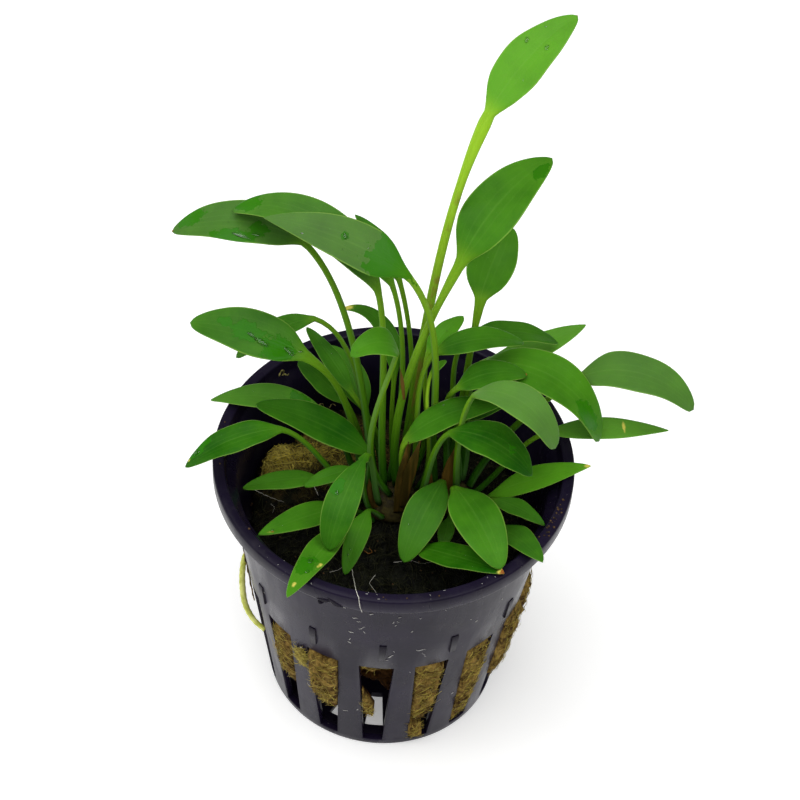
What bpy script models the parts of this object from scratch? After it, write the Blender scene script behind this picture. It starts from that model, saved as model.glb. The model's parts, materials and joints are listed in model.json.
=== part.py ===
"""A potted cryptocoryne: a small water plant, its wool plug and its slotted net pot.

Metres, +Z up. The origin is the centre of the pot's base, on the surface that the pot stands on,
and -Y is the front. The tallest leaf leans back and to the right.
"""

import math
from collections import namedtuple

import bmesh
import bpy
from mathutils import Vector

# Driving dimensions of the pot
POT_HEIGHT = 0.050
RIM_RADIUS = 0.0275
MOUTH_RADIUS = 0.0257
LIP_HEIGHT = 0.0028
BASE_RADIUS = 0.0186
SHOULDER_RADIUS = 0.0252
WALL = 0.0011
FLOOR = 0.0012
EDGE = 0.0003
INNER_STEP_DEPTH = 0.0024
INNER_STEP_SLOPE = 0.0010

SLOT_COUNT = 16
SLOT_PITCH = 360 / SLOT_COUNT
FIRST_SLOT = -91.4
SLOT_BOTTOM = 0.0015
SLOT_TOP = 0.0262
SLOT_HALF_ANGLE_BOTTOM = 4.8
SLOT_HALF_ANGLE_TOP = 7.0

HUB_RADIUS = 0.0095
OPENING_RADIUS = 0.0158
OPENING_HALF_ANGLE = 5.5

NUB_COUNT = 13
FIRST_NUB = -117.0
NUB_BOTTOM = 0.029
NUB_TOP = 0.0335
NUB_WIDTH = 0.0013
NUB_PROUD = 0.0006
NUB_SINK = 0.0006

# The wool plug fills the pot's upper part and bulges into some of the slots
WOOL_GAP = 0.0003
WOOL_BOTTOM = 0.0050
WOOL_EDGE_TOP = 0.0345
WOOL_TOP = 0.0381
WOOL_FLAT_RADIUS = 0.0125
WOOL_COLUMNS = 48
WOOL_LEVELS = 4
WOOL_FRONT_HOLLOW = 0.0016
WOOL_HOLLOW_AT = -40.0
WOOL_WAVE = 0.0002
WOOL_WAVES_AROUND = 7
WOOL_WAVES_UP = 300
LOBE_INNER_RADIUS = 0.0160
LOBE_SIDE_GAP = 0.3
LOBE_CORNER_DEPTH = 0.0004
LOBE_SWELLS = ((0.0, 0.2), (0.3, 0.9), (0.7, 1.0), (1.0, 0.3))
Lobe = namedtuple("Lobe", "slot low high proud")
LOBES = [
    Lobe(-2, 0.0090, 0.0250, 0.0003),
    Lobe(-1, 0.0055, 0.0252, 0.0012),
    Lobe(1, 0.0060, 0.0252, 0.0002),
    Lobe(2, 0.0060, 0.0250, 0.0006),
    Lobe(3, 0.0060, 0.0252, 0.0012),
    Lobe(4, 0.0090, 0.0252, 0.0014),
]

# The plant's two short stems: centre of the flat underside, and the three half-axes of the dome
Crown = namedtuple("Crown", "x y z radius_x radius_y height")
MAIN = "crown_main"
SIDE = "crown_side"
CROWNS = {
    MAIN: Crown(0.0, 0.0, 0.0385, 0.0046, 0.0036, 0.0040),
    SIDE: Crown(0.0090, 0.0020, 0.0385, 0.0034, 0.0032, 0.0036),
}
CROWN_COLUMNS = 14
CROWN_LEVELS = 4
FOOT_GAP = 0.00035
FOOT_SPACING = 0.00175
FOOT_LEAN_SHARE = 0.95
FOOT_ROUNDS = 200
FOOT_LIFT = 0.002
FOOT_LOWEST = 0.05

# How leaves are made
PETIOLE_RADIUS_LEAST = 0.00028
PETIOLE_RADIUS_SHARE = 0.035
FOOT_SWELL = 1.15
NECK_TAPER = 0.80
FOOT_OUTWARD = 0.35
BASE_FORWARD = 0.6
LOW_REACH = 0.33
HIGH_REACH = 0.25
LOW_BOW = 2
HIGH_BOW = 0.5
BLADE_HALF_THICKNESS = 0.00028
TIP_HALF_THICKNESS = 0.00015
FOLD = math.radians(7)
FOLD_STARTS_OVER = 4
NECK_FLATTENS_OVER = 3
BLADE_FLATNESS = 0.9
FOLD_CURVE = 1.5
RING_SIDES = 6
FINE_STEPS = 4
# How many rings a stalk and a blade take, for lengths under each of these
PETIOLE_RINGS = ((0.008, 3), (0.020, 4), (0.040, 5), (math.inf, 6))
BLADE_RINGS = ((0.009, 5), (0.0175, 6), (math.inf, 7))

# One leaf: base is where the petiole ends and the blade starts. The blade sets out at heading (degrees
# from +X) and rise (degrees above level), turns by turn on its way, and points at fall by its tip.
# length and width are the blade's, roll tips it about its own length, and bow bends the petiole aside.
Leaf = namedtuple("Leaf", "name crown base heading turn rise fall length width roll bow")
STRAIGHT = (0.0, 0.0)
LEAVES = [
    Leaf("tall_1", MAIN, (0.010, 0.0164, 0.1056), 48, -10, 50, 15, 0.0185, 0.0076, 0, (-0.0009, 0.0026)),
    Leaf("tall_2", MAIN, (0.0078, 0.0078, 0.0852), 53, -10, 52, 0, 0.0205, 0.0087, 0, (-0.0025, 0.0001)),
    Leaf("tall_3", SIDE, (0.0112, 0.0122, 0.073), 76, -10, 38, 0, 0.013, 0.0072, 0, (0.0005, 0.0026)),
    Leaf("high_left_1", MAIN, (-0.0154, 0.0142, 0.0805), 172, 5, 28, -38, 0.0207, 0.0072, -15, (0.0014, 0.0002)),
    Leaf("high_left_2", MAIN, (-0.004, 0.0072, 0.0787), 152, 10, 66, -42, 0.0282, 0.0067, -10, STRAIGHT),
    Leaf("high_left_3", SIDE, (0.0, 0.0038, 0.0856), 168, 2, 33, -4, 0.022, 0.0072, -20, (0.0015, 0.0007)),
    Leaf("high_left_4", MAIN, (-0.002, 0.012, 0.075), 140, 10, 52, 10, 0.013, 0.004, 0, (0.001, 0.0)),
    Leaf("high_left_5", MAIN, (-0.001, 0.015, 0.073), 130, 10, 50, 10, 0.012, 0.0035, 0, (0.001, 0.0)),
    Leaf("mid_left_1", MAIN, (-0.014, 0.0036, 0.0674), 167, -2, 25, -20, 0.0185, 0.0073, -20, (0.0014, 0.0032)),
    Leaf("mid_left_2", MAIN, (-0.0135, 0.015, 0.0635), 190, 10, -8, -50, 0.014, 0.004, -10, (0.0013, 0.0007)),
    Leaf("mid_left_3", MAIN, (-0.007, 0.0074, 0.0556), 132, -5, 35, 0, 0.013, 0.0031, 0, (0.001, 0.001)),
    Leaf("mid_left_4", MAIN, (-0.005, 0.0108, 0.0482), 117, 5, 30, -15, 0.0135, 0.005, 0, (0.0, 0.0005)),
    Leaf("mid_left_5", MAIN, (-0.008, 0.009, 0.0516), 147, -5, 30, 0, 0.010, 0.0045, 0, (0.0, 0.0005)),
    Leaf("mid_left_6", MAIN, (-0.0006, 0.001, 0.0722), 200, 5, 80, -55, 0.0092, 0.0052, -8, (-0.0034, 0.0)),
    Leaf("mid_left_7", MAIN, (-0.0008, 0.008, 0.0598), 95, 70, 72, -35, 0.0158, 0.0031, 0, (-0.0006, 0.0)),
    Leaf("inner_1", MAIN, (0.004, 0.0066, 0.0664), 48, 0, 42, 0, 0.008, 0.0035, 0, (0.0017, 0.0005)),
    Leaf("inner_2", MAIN, (0.005, 0.0053, 0.0681), 14, 5, 30, -36, 0.0144, 0.0048, 0, (0.0, -0.0002)),
    Leaf("back_right_1", SIDE, (0.010, 0.013, 0.064), 10, 5, 15, -42, 0.015, 0.0045, 0, (0.001, 0.0005)),
    Leaf("back_right_2", SIDE, (0.0122, 0.014, 0.057), 15, 10, 8, 20, 0.0174, 0.0048, 0, STRAIGHT),
    Leaf("right_1", SIDE, (0.0118, 0.009, 0.0614), -15, -15, 45, -80, 0.026, 0.008, 0, STRAIGHT),
    Leaf("right_2", SIDE, (0.0087, 0.0023, 0.0641), 12, 0, 46, -30, 0.0112, 0.0052, 0, (0.0, 0.0046)),
    Leaf("right_3", SIDE, (0.011, -0.0014, 0.0668), -25, -12, 54, -72, 0.0176, 0.0061, 0, (-0.0007, -0.0019)),
    Leaf("right_4", SIDE, (0.0268, 0.0092, 0.060), -5, -15, 48, -52, 0.0205, 0.0073, 5, (-0.0012, 0.0012)),
    Leaf("right_5", SIDE, (0.023, 0.0033, 0.0544), 8, 5, 5, -15, 0.019, 0.0039, 10, (0.0, 0.0007)),
    Leaf("right_6", SIDE, (0.0153, -0.0007, 0.0433), -1, 0, 42, 22, 0.017, 0.0044, 10, STRAIGHT),
    Leaf("right_7", MAIN, (0.008, -0.0033, 0.0603), -22, -5, 35, -52, 0.015, 0.007, 0, (-0.0005, -0.0005)),
    Leaf("inner_3", MAIN, (0.0015, -0.001, 0.055), 14, 3, 54, -12, 0.0163, 0.0054, 0, STRAIGHT),
    Leaf("front_1", SIDE, (0.0076, -0.0023, 0.0478), -110, -5, 15, -52, 0.015, 0.006, 0, STRAIGHT),
    Leaf("front_2", SIDE, (0.0094, -0.0054, 0.0501), -64, -2, 24, -18, 0.0174, 0.0072, 6, STRAIGHT),
    Leaf("front_3", MAIN, (-0.004, -0.0046, 0.0556), -110, 2, 20, -68, 0.0172, 0.0052, 0, STRAIGHT),
    Leaf("left_1", MAIN, (-0.004, 0.0005, 0.050), 164, 0, 33, -10, 0.019, 0.0065, 0, (-0.0003, -0.0005)),
    Leaf("left_2", MAIN, (-0.011, 0.006, 0.052), 168, 2, 18, -34, 0.019, 0.005, -5, (0.0, 0.001)),
    Leaf("left_3", MAIN, (-0.017, -0.002, 0.057), 196, 4, 8, -45, 0.016, 0.005, -5, STRAIGHT),
    Leaf("left_4", MAIN, (-0.011, -0.002, 0.046), 187, 2, 8, -22, 0.012, 0.0037, 0, STRAIGHT),
    Leaf("left_5", MAIN, (-0.006, -0.002, 0.049), 204, -2, 5, -24, 0.008, 0.003, 0, STRAIGHT),
    Leaf("left_6", MAIN, (-0.007, -0.005, 0.0437), 214, 0, 15, 1, 0.0152, 0.0048, 0, STRAIGHT),
    Leaf("front_4", MAIN, (-0.0068, -0.0101, 0.0451), -111, 0, 29, 6, 0.021, 0.0044, 0, (-0.0013, 0.0)),
    Leaf("front_5", MAIN, (-0.0034, -0.0062, 0.0443), -107, 3, 3, -38, 0.011, 0.0035, 0, (0.0002, 0.0)),
    Leaf("front_6", SIDE, (0.0042, -0.0121, 0.0436), -38, 5, 33, 16, 0.0175, 0.0052, 0, (0.0, 0.0006)),
    Leaf("front_7", SIDE, (0.009, -0.006, 0.0435), -100, 0, 0, -38, 0.005, 0.0025, 0, STRAIGHT),
    Leaf("front_8", SIDE, (0.0158, -0.0078, 0.0444), -60, 0, 44, 14, 0.0158, 0.0049, 0, STRAIGHT),
    Leaf("front_9", SIDE, (0.0155, -0.0043, 0.0466), -36, 0, 30, -10, 0.0098, 0.0033, 0, STRAIGHT),
    Leaf("new_leaf", MAIN, (0.0047, 0.0047, 0.0643), 25, 0, 55, 25, 0.003, 0.0015, 0, (0.0007, -0.0013)),
    Leaf("inner_4", SIDE, (0.010, 0.004, 0.0555), 18, 2, 28, 0, 0.007, 0.0035, 0, STRAIGHT),
]

# How blunt the tips are, from 0 to 1; how near to the tip the blades are widest, where 1 is the middle;
# and how much wider than the stalk the blades are where they start
USUAL_FULLNESS = 0.8
FULLNESS = {
    "tall_1": 0.65,
    "tall_2": 0.6,
    "high_left_1": 0.6,
    "high_left_3": 0.15,
    "high_left_4": 0.5,
    "high_left_5": 0.4,
    "back_right_2": 0.2,
    "right_3": 1.0,
    "right_4": 1.0,
    "right_5": 0.1,
    "right_6": 0.3,
    "right_7": 0.5,
    "left_2": 0.2,
    "left_3": 0.5,
    "left_6": 0.3,
    "front_4": 0.6,
    "front_6": 0.5,
    "front_8": 0.5,
    "front_9": 0.4,
}
USUAL_BELLY = 0.8
BELLY = {
    "tall_1": 0.85,
    "high_left_3": 0.62,
    "mid_left_6": 0.65,
    "back_right_2": 1.1,
    "right_3": 0.9,
    "right_7": 0.9,
    "front_1": 0.9,
    "front_2": 0.9,
    "front_3": 1.35,
}
USUAL_WING = 1.25
NECK_WING = {
    "tall_1": 1.8,
    "tall_2": 1.8,
    "tall_3": 1.8,
    "mid_left_1": 1.8,
    "right_1": 1.8,
    "inner_3": 1.8,
    "left_1": 1.8,
}
SHARP_TIP = 0.85
TIP_FILL = 0.38

# The root that leaves a slot on the left, hangs outside the wall and goes back in at the next slot,
# as (angle, radius, height) about the pot's axis
ROOT_RADIUS = 0.0005
ROOT_STEPS = 2
ROOT = [
    (-180.0, 0.0213, 0.0252),
    (-177.5, 0.0226, 0.0248),
    (-176.0, 0.0231, 0.0215),
    (-174.0, 0.0231, 0.0180),
    (-171.0, 0.0227, 0.0150),
    (-166.5, 0.0216, 0.0132),
    (-161.0, 0.0201, 0.0125),
]

# Colours and roughness
POT_COLOUR = (0.045, 0.040, 0.052)
WOOL_COLOUR = (0.33, 0.22, 0.075)
CROWN_COLOUR = (0.16, 0.15, 0.035)
ROOT_COLOUR = (0.50, 0.55, 0.12)
LEAF_DEEP = (0.035, 0.15, 0.012)
LEAF_BRIGHT = (0.085, 0.30, 0.018)
BRIGHT_HEIGHT = 0.110
POT_ROUGHNESS = 0.38
WOOL_ROUGHNESS = 0.95
CROWN_ROUGHNESS = 0.7
LEAF_ROUGHNESS = 0.35
ROOT_ROUGHNESS = 0.5


def clear_scene():
    for obj in list(bpy.data.objects):
        bpy.data.objects.remove(obj, do_unlink=True)


def plain_material(name, colour, roughness):
    material = bpy.data.materials.new(name)
    material.use_nodes = True
    shader = material.node_tree.nodes["Principled BSDF"]
    shader.inputs["Base Color"].default_value = (*colour, 1.0)
    shader.inputs["Roughness"].default_value = roughness
    shader.inputs["Metallic"].default_value = 0.0
    material.diffuse_color = (*colour, 1.0)
    return material


def object_from(bm, name, material, sharp_above=math.radians(40)):
    mesh = bpy.data.meshes.new(name)
    bm.to_mesh(mesh)
    bm.free()
    mesh.materials.append(material)
    mesh.shade_smooth()
    mesh.set_sharp_from_angle(angle=sharp_above)
    obj = bpy.data.objects.new(name, mesh)
    bpy.context.scene.collection.objects.link(obj)
    return obj


def ring_band(bm, first, second, skip=()):
    """Faces between two rings of vertices that run anticlockwise about the way from first to second."""
    count = len(first)
    for k in range(count):
        after = (k + 1) % count
        if k not in skip:
            bm.faces.new((first[k], first[after], second[after], second[k]))


def lofted(bm, rings):
    """A closed body through rings of points, with a flat cap on each end."""
    made = [[bm.verts.new(point) for point in ring] for ring in rings]
    for first, second in zip(made, made[1:]):
        ring_band(bm, first, second)
    bm.faces.new(made[0][::-1])
    bm.faces.new(made[-1])


def turned(angle, radius, z):
    """The point at this angle in degrees and this radius about the pot's axis."""
    return Vector((radius * math.cos(math.radians(angle)), radius * math.sin(math.radians(angle)), z))


def wall_radius(z):
    """The outer radius of the pot's tapered wall."""
    return BASE_RADIUS + (SHOULDER_RADIUS - BASE_RADIUS) * z / (POT_HEIGHT - LIP_HEIGHT)


def slot_half_angle(z):
    share = (z - SLOT_BOTTOM) / (SLOT_TOP - SLOT_BOTTOM)
    return SLOT_HALF_ANGLE_BOTTOM + (SLOT_HALF_ANGLE_TOP - SLOT_HALF_ANGLE_BOTTOM) * share


def pot_profile():
    """Rows of (radius, z, half angle of a slot's columns), up the outside and down the inside."""
    lip_bottom = POT_HEIGHT - LIP_HEIGHT
    step_top = POT_HEIGHT - INNER_STEP_DEPTH
    step_bottom = step_top - INNER_STEP_SLOPE
    even = SLOT_PITCH / 4
    low = SLOT_HALF_ANGLE_BOTTOM
    high = SLOT_HALF_ANGLE_TOP
    return [
        (HUB_RADIUS, 0.0, OPENING_HALF_ANGLE),
        (OPENING_RADIUS, 0.0, OPENING_HALF_ANGLE),
        (BASE_RADIUS - EDGE, 0.0, low),
        (wall_radius(EDGE), EDGE, low),
        (wall_radius(SLOT_BOTTOM), SLOT_BOTTOM, low),
        (wall_radius(SLOT_TOP), SLOT_TOP, high),
        (SHOULDER_RADIUS, lip_bottom, even),
        (RIM_RADIUS, lip_bottom, even),
        (RIM_RADIUS, POT_HEIGHT - EDGE, even),
        (RIM_RADIUS - EDGE, POT_HEIGHT, even),
        (MOUTH_RADIUS + EDGE, POT_HEIGHT, even),
        (MOUTH_RADIUS, POT_HEIGHT - EDGE, even),
        (MOUTH_RADIUS - EDGE, step_top, even),
        (wall_radius(step_bottom) - WALL, step_bottom, even),
        (wall_radius(SLOT_TOP) - WALL, SLOT_TOP, high),
        (wall_radius(SLOT_BOTTOM) - WALL, SLOT_BOTTOM, low),
        (wall_radius(SLOT_BOTTOM) - WALL - EDGE, FLOOR, low),
        (OPENING_RADIUS, FLOOR, OPENING_HALF_ANGLE),
        (HUB_RADIUS, FLOOR, OPENING_HALF_ANGLE),
    ]


def pot_ring(bm, radius, z, half_angle):
    """One row of the pot: for each slot, the middle of the bar before it, its two edges and its centre."""
    ring = []
    for slot in range(SLOT_COUNT):
        centre = FIRST_SLOT + SLOT_PITCH * slot
        for offset in (-SLOT_PITCH / 2, -half_angle, 0.0, half_angle):
            ring.append(bm.verts.new(turned(centre + offset, radius, z)))
    return ring


def cut_through(bm, lower, upper, inner_lower, inner_upper):
    """The sides of each opening between two outer rows and the two inner rows that face them."""
    for slot in range(SLOT_COUNT):
        left, middle, right = (4 * slot + k for k in (1, 2, 3))
        outer = [lower[left], lower[middle], lower[right], upper[right], upper[middle], upper[left]]
        inner = [
            inner_lower[left],
            inner_lower[middle],
            inner_lower[right],
            inner_upper[right],
            inner_upper[middle],
            inner_upper[left],
        ]
        ring_band(bm, outer, inner)


def make_nubs():
    """The small raised tabs on the wall above the slots, as one helper that is joined to the pot."""
    bm = bmesh.new()
    for count in range(NUB_COUNT):
        angle = FIRST_NUB + 360 / NUB_COUNT * count
        out = turned(angle, 1.0, 0.0)
        side = Vector((-out.y, out.x, 0.0)) * NUB_WIDTH / 2
        rings = []
        for z, proud in ((NUB_BOTTOM, NUB_PROUD), (NUB_TOP, NUB_PROUD / 2)):
            near = turned(angle, wall_radius(z) - NUB_SINK, z)
            far = turned(angle, wall_radius(z) + proud, z)
            rings.append([near - side, far - side, far + side, near + side])
        lofted(bm, rings)
    nubs = object_from(bm, "nub_shapes", bpy.data.materials["pot"])
    nubs.hide_render = True
    nubs.display_type = "WIRE"
    return nubs


def make_pot():
    plastic = plain_material("pot", POT_COLOUR, POT_ROUGHNESS)
    bm = bmesh.new()
    rings = [pot_ring(bm, *row) for row in pot_profile()]
    opening, slot, inner_slot, inner_opening = 0, 4, 14, 17
    open_columns = [4 * k + side for k in range(SLOT_COUNT) for side in (1, 2)]
    for row in range(len(rings) - 1):
        with_holes = row in (opening, slot, inner_slot, inner_opening)
        ring_band(bm, rings[row], rings[row + 1], open_columns if with_holes else ())
    bm.faces.new(rings[0][::-1])
    bm.faces.new(rings[-1])
    cut_through(bm, rings[opening], rings[opening + 1], rings[inner_opening + 1], rings[inner_opening])
    cut_through(bm, rings[slot], rings[slot + 1], rings[inner_slot + 1], rings[inner_slot])
    pot = object_from(bm, "pot", plastic, math.radians(30))
    join = pot.modifiers.new("nubs", "BOOLEAN")
    join.operation = "UNION"
    join.object = make_nubs()
    return pot


def wool_radius(angle, z):
    """The plug follows the inside of the wall, and stands back from it most at the front right."""
    away = math.radians(angle - WOOL_HOLLOW_AT)
    hollow = WOOL_FRONT_HOLLOW * max(0.0, math.cos(away)) ** 2
    wave = WOOL_WAVE * (1 + math.sin(math.radians(WOOL_WAVES_AROUND * angle) + WOOL_WAVES_UP * z))
    return wall_radius(z) - WALL - WOOL_GAP - hollow - wave


def make_lobes(material):
    """The parts of the plug that push out between the pot's bars."""
    bm = bmesh.new()
    for lobe in LOBES:
        centre = FIRST_SLOT + SLOT_PITCH * lobe.slot
        height = lobe.high - lobe.low
        rings = []
        for share, swell in LOBE_SWELLS:
            z = lobe.low + height * share
            half = slot_half_angle(z) - math.degrees(WOOL_GAP / wall_radius(z)) - LOBE_SIDE_GAP
            far = wall_radius(z) + lobe.proud * swell
            corner = far - LOBE_CORNER_DEPTH
            rings.append(
                [
                    turned(centre - half, LOBE_INNER_RADIUS, z),
                    turned(centre - half, corner, z),
                    turned(centre - half / 2, far, z),
                    turned(centre + half / 2, far, z),
                    turned(centre + half, corner, z),
                    turned(centre + half, LOBE_INNER_RADIUS, z),
                ]
            )
        lofted(bm, rings)
    lobes = object_from(bm, "lobe_shapes", material)
    lobes.hide_render = True
    lobes.display_type = "WIRE"
    return lobes


def make_wool():
    material = plain_material("wool", WOOL_COLOUR, WOOL_ROUGHNESS)
    bm = bmesh.new()
    rings = []
    for level in range(WOOL_LEVELS + 1):
        z = WOOL_BOTTOM + (WOOL_EDGE_TOP - WOOL_BOTTOM) * level / WOOL_LEVELS
        angles = [360 / WOOL_COLUMNS * k for k in range(WOOL_COLUMNS)]
        rings.append([turned(angle, wool_radius(angle, z), z) for angle in angles])
    rings.append([turned(360 / WOOL_COLUMNS * k, WOOL_FLAT_RADIUS, WOOL_TOP) for k in range(WOOL_COLUMNS)])
    lofted(bm, rings)
    wool = object_from(bm, "wool", material)
    join = wool.modifiers.new("lobes", "BOOLEAN")
    join.operation = "UNION"
    join.object = make_lobes(material)
    return wool


def make_crown(name):
    """A low dome with a flat underside, which the leaves of one stem grow from."""
    crown = CROWNS[name]
    bm = bmesh.new()
    rings = []
    for level in range(CROWN_LEVELS):
        lift = math.radians(90 * level / CROWN_LEVELS)
        ring = []
        for k in range(CROWN_COLUMNS):
            a = math.tau * k / CROWN_COLUMNS
            x = crown.x + crown.radius_x * math.cos(lift) * math.cos(a)
            y = crown.y + crown.radius_y * math.cos(lift) * math.sin(a)
            ring.append(bm.verts.new((x, y, crown.z + crown.height * math.sin(lift))))
        rings.append(ring)
    for first, second in zip(rings, rings[1:]):
        ring_band(bm, first, second)
    top = bm.verts.new((crown.x, crown.y, crown.z + crown.height))
    for k in range(CROWN_COLUMNS):
        bm.faces.new((rings[-1][k], rings[-1][(k + 1) % CROWN_COLUMNS], top))
    bm.faces.new(rings[0][::-1])
    return object_from(bm, name, plain_material(name, CROWN_COLOUR, CROWN_ROUGHNESS))


def crown_frame(name):
    crown = CROWNS[name]
    return Vector((crown.x, crown.y, crown.z)), Vector((crown.radius_x, crown.radius_y, crown.height))


def scaled(vector, by):
    return Vector((vector.x * by.x, vector.y * by.y, vector.z * by.z))


def divided(vector, by):
    return Vector((vector.x / by.x, vector.y / by.y, vector.z / by.z))


def foot_directions(leaves, centre, radii):
    """One direction on a unit dome for each leaf: upright leaves near its top, low ones near its edge."""

    def lean(leaf):
        reach = Vector(leaf.base) - centre
        return math.atan2(math.hypot(reach.x, reach.y), reach.z - FOOT_LIFT)

    ranked = sorted(leaves, key=lean)
    units = []
    for rank, leaf in enumerate(ranked):
        reach = Vector(leaf.base) - centre
        around = math.atan2(reach.y, reach.x)
        up = 1 - (rank + 0.5) / len(ranked) * FOOT_LEAN_SHARE
        out = math.sqrt(1 - up * up)
        units.append(Vector((out * math.cos(around), out * math.sin(around), up)))
    mean_radius = (radii.x + radii.y + radii.z) / 3
    for _ in range(FOOT_ROUNDS):
        pushes = [Vector() for _ in units]
        for i, one in enumerate(units):
            for j in range(i):
                apart = scaled(one - units[j], radii)
                distance = max(apart.length, 1e-9)
                if distance < FOOT_SPACING:
                    push = apart / distance * (FOOT_SPACING - distance) / 4 / mean_radius
                    pushes[i] += push
                    pushes[j] -= push
        units = [unit + push for unit, push in zip(units, pushes)]
        for unit in units:
            unit.z = max(unit.z, FOOT_LOWEST)
            unit.normalize()
    return zip(ranked, units)


def leaf_feet():
    """Where each petiole starts, just clear of its crown, and the way it sets out."""
    feet = {}
    for name in CROWNS:
        centre, radii = crown_frame(name)
        mine = [leaf for leaf in LEAVES if leaf.crown == name]
        for leaf, unit in foot_directions(mine, centre, radii):
            outward = divided(unit, radii).normalized()
            feet[leaf.name] = (centre + scaled(unit, radii) + outward * FOOT_GAP, outward)
    return feet


def heading_vector(heading, pitch):
    h = math.radians(heading)
    p = math.radians(pitch)
    return Vector((math.cos(h) * math.cos(p), math.sin(h) * math.cos(p), math.sin(p)))


def blade_direction(leaf, t):
    return heading_vector(leaf.heading + leaf.turn * t, leaf.rise + (leaf.fall - leaf.rise) * t)


def blade_points(leaf, steps):
    """Points along the blade's midrib, from its base to its tip."""
    points = [Vector(leaf.base)]
    stride = leaf.length / steps / FINE_STEPS
    for k in range(steps):
        point = points[-1].copy()
        for j in range(FINE_STEPS):
            point += blade_direction(leaf, (k + (j + 0.5) / FINE_STEPS) / steps) * stride
        points.append(point)
    return points


def petiole_curve(leaf, foot, outward):
    """The four control points of the petiole's Bezier curve."""
    base = Vector(leaf.base)
    chord = base - foot
    span = chord.length
    chord = chord / span
    start = (outward * FOOT_OUTWARD + chord * (1 - FOOT_OUTWARD)).normalized()
    forward = heading_vector(leaf.heading, leaf.rise)
    end = (forward * BASE_FORWARD + chord * (1 - BASE_FORWARD)).normalized()
    bow = Vector((*leaf.bow, 0.0))
    low = foot + start * span * LOW_REACH + bow * LOW_BOW
    high = base - end * span * HIGH_REACH + bow * HIGH_BOW
    return foot, low, high, base


def bezier(points, t):
    """Point and direction at share t of a cubic curve."""
    a, b, c, d = points
    s = 1 - t
    place = a * s**3 + b * (3 * s * s * t) + c * (3 * s * t * t) + d * t**3
    way = (b - a) * (s * s) + (c - b) * (2 * s * t) + (d - c) * (t * t)
    return place, way.normalized()


def level_side(heading):
    return Vector((-math.sin(math.radians(heading)), math.cos(math.radians(heading)), 0.0))


def rolled(side, up, degrees):
    a = math.radians(degrees)
    return side * math.cos(a) + up * math.sin(a), up * math.cos(a) - side * math.sin(a)


def half_width(leaf, t):
    """The blade's half width: it widens from its base to its belly and narrows to a blunt or a sharp tip."""
    bluntness = SHARP_TIP - TIP_FILL * FULLNESS.get(leaf.name, USUAL_FULLNESS) * t
    belly = BELLY.get(leaf.name, USUAL_BELLY)
    return leaf.width / 2 * math.sin(math.pi * min(t, 1.0) ** belly) ** bluntness


def leaf_ring(place, side, up, wide, thick, fold):
    """Six points about a place, whose outer ones are lifted by the blade's fold."""
    ring = []
    flatten = 1.0 if thick >= wide else BLADE_FLATNESS
    for k in range(RING_SIDES):
        a = math.tau * k / RING_SIDES
        lift = thick * math.sin(a) * flatten + math.tan(fold) * wide * abs(math.cos(a)) ** FOLD_CURVE
        ring.append(place + side * (wide * math.cos(a)) + up * lift)
    return ring


def ring_count(length, table):
    """The count of the table's first row that this length stays under."""
    return next(count for under, count in table if length < under)


def leaf_rings(leaf, foot, outward):
    petiole_steps = ring_count((Vector(leaf.base) - foot).length, PETIOLE_RINGS)
    blade_steps = ring_count(leaf.length, BLADE_RINGS)
    stalk = PETIOLE_RADIUS_LEAST + PETIOLE_RADIUS_SHARE * leaf.width
    curve = petiole_curve(leaf, foot, outward)
    flat = level_side(leaf.heading)
    rings = []
    for k in range(petiole_steps):
        t = k / petiole_steps
        place, way = bezier(curve, t)
        side = (flat - way * way.dot(flat)).normalized()
        side, up = rolled(side, way.cross(side), leaf.roll * t * t)
        radius = stalk * (FOOT_SWELL + (NECK_TAPER - FOOT_SWELL) * t)
        rings.append(leaf_ring(place, side, up, radius, radius, 0.0))
    neck = stalk * NECK_TAPER
    for k, place in enumerate(blade_points(leaf, blade_steps)):
        t = k / blade_steps
        side = level_side(leaf.heading + leaf.turn * t)
        side, up = rolled(side, blade_direction(leaf, t).cross(side), leaf.roll)
        narrow = neck * NECK_WING.get(leaf.name, USUAL_WING) if k == 0 else TIP_HALF_THICKNESS
        wide = max(half_width(leaf, t), narrow)
        thick = max(neck * (1 - NECK_FLATTENS_OVER * t), BLADE_HALF_THICKNESS)
        if k == blade_steps:
            thick = TIP_HALF_THICKNESS
        rings.append(leaf_ring(place, side, up, wide, thick, FOLD * min(1.0, FOLD_STARTS_OVER * t)))
    return rings


def leaf_colour(leaf):
    """High leaves are in the light and look brighter."""
    share = min(1.0, leaf.base[2] / BRIGHT_HEIGHT)
    return tuple(deep + (bright - deep) * share for deep, bright in zip(LEAF_DEEP, LEAF_BRIGHT))


def make_leaf(leaf, foot, outward):
    bm = bmesh.new()
    lofted(bm, leaf_rings(leaf, foot, outward))
    material = plain_material(leaf.name, leaf_colour(leaf), LEAF_ROUGHNESS)
    return object_from(bm, leaf.name, material, math.radians(60))


def smooth_route(points, steps):
    """A Catmull-Rom curve through the points, with this many steps from each to the next."""
    padded = [points[0] * 2 - points[1], *points, points[-1] * 2 - points[-2]]
    route = []
    for before, start, end, after in zip(padded, padded[1:], padded[2:], padded[3:]):
        for k in range(steps):
            t = k / steps
            linear = (end - before) * t
            square = (before * 2 - start * 5 + end * 4 - after) * t * t
            cube = (start * 3 - before - end * 3 + after) * t**3
            route.append(start + (linear + square + cube) / 2)
    return [*route, points[-1]]


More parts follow.
